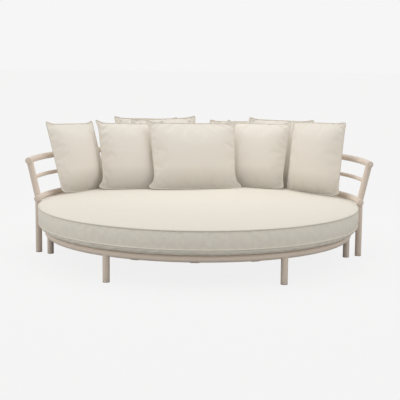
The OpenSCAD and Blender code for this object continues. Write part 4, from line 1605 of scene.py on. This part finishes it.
@dataclass
class Frame:
    """The welded base, deck and back frame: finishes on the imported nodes, weld beads and socket-head bolts.

    Starts say where on a leg or post the search for the line where it meets a rail begins, and search how far it goes.
    """

    nodes: Mapping[str, bpy.types.Object]
    bead_r: float = 0.0019
    bead_points: int = 40
    leg_start: float = 0.05
    back_leg_start: float = 0.2
    post_start: float = 0.12
    search: float = 0.3
    search_steps: int = 1501
    bolt_sides: int = 24
    socket_half: float = 0.0035
    socket_depth: float = 0.0026
    socket_lip: float = 0.0003
    head_chamfer: float = 0.0007
    tip_chamfer: float = 0.001

    def dress(self, finishes: Finishes) -> None:
        """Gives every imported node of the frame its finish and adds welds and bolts."""
        coats = {"leg_glides": finishes.glide, "back_bolts": finishes.steel}
        for name, node in self.nodes.items():
            if name.startswith(("mattress", "pillow")):
                finish = finishes.mattress
            elif name.startswith(("slat", "bearer", "deck")):
                finish = finishes.deck
            else:
                finish = coats.get(name, finishes.frame)
            self.coat(node, finish)
        self.add_welds(finishes)
        self.add_bolts(finishes)
        log.info("frame: %d nodes coated", len(self.nodes))

    @staticmethod
    def coat(node: bpy.types.Object, finish: bpy.types.Material) -> None:
        """Puts one finish in every material slot of a node."""
        if not node.material_slots:
            node.data.materials.append(finish)
        for slot in node.material_slots:
            slot.material = finish

    @staticmethod
    def leg_angles() -> list[float]:
        """Returns the base legs' angles from the middle of the back."""
        side, rear = PLAN.end_post_angle + PLAN.leg_offset, PLAN.rear_post_angle + PLAN.leg_offset
        return [180 - PLAN.front_leg_angle, 180 + PLAN.front_leg_angle, side, -side, rear, -rear]

    def add_welds(self, finishes: Finishes) -> None:
        """Adds a bead round every tube end that is notched onto another tube."""
        plan = PLAN
        ring, low, top = (
            (plan.ring_r, plan.ring_z), (plan.post_r, plan.low_rail_z), (plan.top_rail_r, plan.top_rail_z)
        )
        runs = []
        for angle in self.leg_angles():
            foot = plan.at(angle, plan.ring_r, self.leg_start)
            runs.append(self.meeting(foot, UP, ring, plan.ring_z - plan.notch_drop))
        lean = math.radians(plan.post_lean)
        length = (plan.top_rail_z - plan.low_rail_z) / math.cos(lean)
        for angle in plan.post_angles:
            foot = plan.at(angle, plan.post_r, self.back_leg_start)
            runs.append(self.meeting(foot, UP, low, plan.low_rail_z - plan.notch_drop))
            rise = UP * math.cos(lean) + plan.outward(angle) * math.sin(lean)
            start = plan.at(angle, plan.post_r, plan.low_rail_z) + rise * self.post_start
            for way, rail, reach in ((rise, top, length - self.post_start), (-rise, low, self.post_start)):
                runs.append(self.meeting(start, way, rail, None, reach - plan.notch_drop))
        beads = TOOLS.run(Tool.BEAD, "frame_weld_beads", runs, True, finishes.frame, radius=self.bead_r)
        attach(beads, "frame")
        log.info("weld beads: %d joints, %d faces", len(runs), len(beads.data.polygons))

    def meeting(
        self, foot: Points, way: Points, rail: tuple[float, float], stop_z: float | None, stop: float = 9.0
    ) -> Points:
        """Finds the line on which a straight tube's outside meets a round rail's outside.

        Args:
            foot: A point on the tube's axis, clear of the rail.
            way: The tube's direction towards the rail.
            rail: Radius and height of the rail's centre line; both tubes are of one thickness.
            stop_z: Height at which the tube's wall ends, where it stands straight.
            stop: Distance along the tube at which its wall ends.

        Returns:
            The closed line's points.
        """
        side = np.cross(way, UP if abs(way[2]) < 0.9 else [0.0, 1.0, 0.0])
        side /= np.linalg.norm(side)
        other = np.cross(way, side)
        reach = np.linspace(0, self.search, self.search_steps)
        line = []
        for turn in np.arange(self.bead_points) * math.pi / (self.bead_points / 2):
            start = foot + (side * math.cos(turn) + other * math.sin(turn)) * PLAN.tube_r
            points = start + reach[:, None] * way
            gap = np.hypot(PLAN.radius(points) - rail[0], points[:, 2] - rail[1]) - PLAN.tube_r
            end = stop if stop_z is None else (stop_z - start[2]) / way[2]
            hit = np.flatnonzero(gap <= 0)
            distance = min(reach[hit[0]] if len(hit) else end, end)
            line.append(start + way * distance)
        return np.array(line)

    def add_bolts(self, finishes: Finishes) -> None:
        """Replaces the bolts with socket-head ones: chamfered head, hexagon socket and shank."""
        plan, parts = PLAN, SolidParts()
        turn = np.arange(self.bolt_sides) * math.pi / (self.bolt_sides / 2)
        hexagon = self.socket_half / np.cos((turn % (math.pi / 3)) - math.pi / 6)
        face, seat, tip = plan.bolt_head_at, plan.bolt_head_at + plan.bolt_head_h, plan.bolt_end_at
        outline = (
            (face + self.socket_depth, hexagon * 0.98),
            (face + 0.0002, hexagon),
            (face, hexagon + self.socket_lip),
            (face, np.full(self.bolt_sides, plan.bolt_head_r - self.head_chamfer)),
            (face + self.head_chamfer, np.full(self.bolt_sides, plan.bolt_head_r)),
            (seat, np.full(self.bolt_sides, plan.bolt_head_r)),
            (seat, np.full(self.bolt_sides, plan.bolt_r)),
            (tip - self.tip_chamfer, np.full(self.bolt_sides, plan.bolt_r)),
            (tip, np.full(self.bolt_sides, plan.bolt_r * 0.8)),
        )
        for angle in plan.post_angles:
            away = plan.outward(angle)
            across = np.cross(away, UP)
            rings = []
            for along, size in outline:
                place = plan.at(angle, along, plan.ring_z)
                rings.append(place + (np.cos(turn) * size)[:, None] * across + (np.sin(turn) * size)[:, None] * UP)
            parts.add_rings(rings, np.dot(np.cross(across, UP), away) > 0)
        bolts = parts.build("back_bolts_socket_head")
        bolts.data.materials.append(finishes.steel)
        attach(bolts, "frame")
        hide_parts("back_bolts")


# Studio


@dataclass(frozen=True)
class Studio:
    """Pale floor, soft light and the photograph's camera.

    Two wide suns shine from key_from and fill_from, and a round lamp behind fades towards the front. Light spreads are
    in degrees. The camera's turns are its azimuth, heading, pitch and roll in radians.
    """

    white: Colour = paint(246, 246, 246)
    bounce: Colour = paint(186, 185, 183)
    sky_colour: Colour = (1.0, 0.985, 0.965)
    lamp_colour: Colour = (1.0, 0.99, 0.975)
    sky: float = 0.68
    key: float = 0.50
    key_from: tuple[float, float, float] = (-0.9, -0.05, 0.43)
    fill: float = 0.335
    fill_from: tuple[float, float, float] = (0.55, -0.45, 0.70)
    sun_spread: float = 50.0
    back: float = 312.0
    back_at: tuple[float, float, float] = (0.0, 1.6, 5.5)
    back_aim: tuple[float, float, float] = (0.0, 0.75, 0.5)
    back_spread: float = 50.0
    back_r: float = 0.9
    floor_keep: float = 0.92
    floor_reach: float = 60.0
    floor_drop: float = 0.0002
    camera_away: float = 6.356407
    camera_h: float = 1.274749
    camera_turns: tuple[float, float, float, float] = (0.0185, 0.01693, -0.1442, 0.00942)
    focal_px: float = 1025.325
    picture_px: float = 400.0
    sensor: float = 36.0

    def build(self) -> None:
        """Builds the floor, the light and the camera."""
        self.add_floor()
        self.add_world()
        suns = (("key light", self.key, self.key_from), ("fill light", self.fill, self.fill_from))
        for name, strength, source in suns:
            self.add_lamp(name, "SUN", strength, Vector(source)).data.angle = math.radians(self.sun_spread)
        self.add_back_light()
        self.add_camera()

    def add_floor(self) -> None:
        """Adds the floor, which keeps the object's shadow and shows the camera mostly its own white."""
        reach, level = self.floor_reach, -self.floor_drop
        edge = np.array([(x * reach, y * reach, level) for x, y in ((-1, -1), (1, -1), (1, 1), (-1, 1))])
        floor = lay_mesh("studio_floor", edge, [[0, 1, 2, 3]], smooth=False)
        made = bpy.data.materials.new("studio paper")
        made.use_nodes = True
        made.node_tree.nodes.clear()
        graph = Graph(made.node_tree)
        seen = graph.node("ShaderNodeLightPath").outputs["Is Camera Ray"]
        tone = graph.between(seen, self.bounce, self.white)
        paper = graph.node("ShaderNodeBsdfDiffuse", {"Color": tone}).outputs[0]
        glow = graph.node("ShaderNodeEmission", {"Color": (*self.white, 1.0), "Strength": 1.0}).outputs[0]
        share = graph.math("MULTIPLY", seen, self.floor_keep)
        mixed = graph.node("ShaderNodeMixShader", {0: share, 1: paper, 2: glow}).outputs[0]
        graph.node("ShaderNodeOutputMaterial", {"Surface": mixed})
        floor.data.materials.append(made)
        floor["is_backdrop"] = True

    def add_world(self) -> None:
        """Adds an even sky that the camera, metal and glass see as white."""
        world = bpy.data.worlds.new("studio sky")
        world.use_nodes = True
        world.node_tree.nodes.clear()
        graph = Graph(world.node_tree)
        path = graph.node("ShaderNodeLightPath").outputs
        mirrored = graph.math("MAXIMUM", path["Is Glossy Ray"], path["Is Transmission Ray"])
        seen = graph.math("MAXIMUM", path["Is Camera Ray"], mirrored)
        skies = [
            graph.node("ShaderNodeBackground", {"Color": (*colour, 1.0), "Strength": strength}).outputs[0]
            for colour, strength in ((self.sky_colour, self.sky), (self.white, 1.0))
        ]
        mixed = graph.node("ShaderNodeMixShader", {0: seen, 1: skies[0], 2: skies[1]}).outputs[0]
        graph.node("ShaderNodeOutputWorld", {"Surface": mixed})
        bpy.context.scene.world = world

    def add_lamp(self, name: str, kind: str, strength: float, source: Vector) -> bpy.types.Object:
        """Adds a lamp that shines from one direction.

        Args:
            name: Name of the lamp.
            kind: Blender's kind of lamp.
            strength: Its strength.
            source: The direction it shines from.

        Returns:
            The lamp, at the origin.
        """
        lamp = bpy.data.lights.new(name, kind)
        lamp.energy = strength
        lamp.color = self.lamp_colour
        made = bpy.data.objects.new(name, lamp)
        made.rotation_euler = source.to_track_quat("Z", "Y").to_euler()
        bpy.context.scene.collection.objects.link(made)
        return made

    def add_back_light(self) -> None:
        """Adds a soft round lamp high behind the back frame, whose light fades towards the mattress's front."""
        place = Vector(self.back_at)
        made = self.add_lamp("back light", "SPOT", self.back, place - Vector(self.back_aim))
        made.data.spot_size = math.radians(self.back_spread)
        made.data.spot_blend = 1.0
        made.data.shadow_soft_size = self.back_r
        made.location = place
        made.visible_camera = False

    def add_camera(self) -> None:
        """Adds the camera at the photograph's place, height and lens."""
        azimuth, heading, pitch, roll = self.camera_turns
        right = Vector((math.cos(heading), math.sin(heading), 0))
        level = Vector((-math.sin(heading), math.cos(heading), 0))
        forward = level * math.cos(pitch) + Vector(UP) * math.sin(pitch)
        up = right.cross(forward)
        across = right * math.cos(roll) + up * math.sin(roll)
        top = up * math.cos(roll) - right * math.sin(roll)
        away = self.camera_away
        place = Vector((away * math.sin(azimuth), PLAN.centre_y - away * math.cos(azimuth), self.camera_h))
        lens = bpy.data.cameras.new("photograph")
        lens.sensor_width = self.sensor
        lens.lens = self.sensor * self.focal_px / self.picture_px
        lens.clip_end = 200.0
        camera = bpy.data.objects.new("photograph", lens)
        turned = [(a, b, -c, d) for a, b, c, d in zip(across, top, forward, place)]
        camera.matrix_world = Matrix([*turned, (0, 0, 0, 1)])
        bpy.context.scene.collection.objects.link(camera)
        bpy.context.scene.camera = camera


def corners() -> list[list[float]]:
    """Returns the whole object's box as plain lists."""
    return [[float(v) for v in corner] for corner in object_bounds()]


def main() -> None:
    """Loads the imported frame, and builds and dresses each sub-assembly."""
    logging.basicConfig(level=logging.INFO, format="%(name)s: %(message)s")
    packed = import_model()
    bpy.context.scene.view_settings.view_transform = "Standard"
    finishes = Finishes()
    Studio().build()
    Frame(packed["nodes"]).dress(finishes)
    mattress = Mattress()
    covers = [mattress.lay()] + [pillow.lay() for pillow in PILLOWS]
    settle(covers)
    mattress.dress(covers[0].settled, finishes)
    for pillow, cover in zip(PILLOWS, covers[1:]):
        pillow.dress(cover.settled, finishes)


if __name__ == "__main__":
    main()
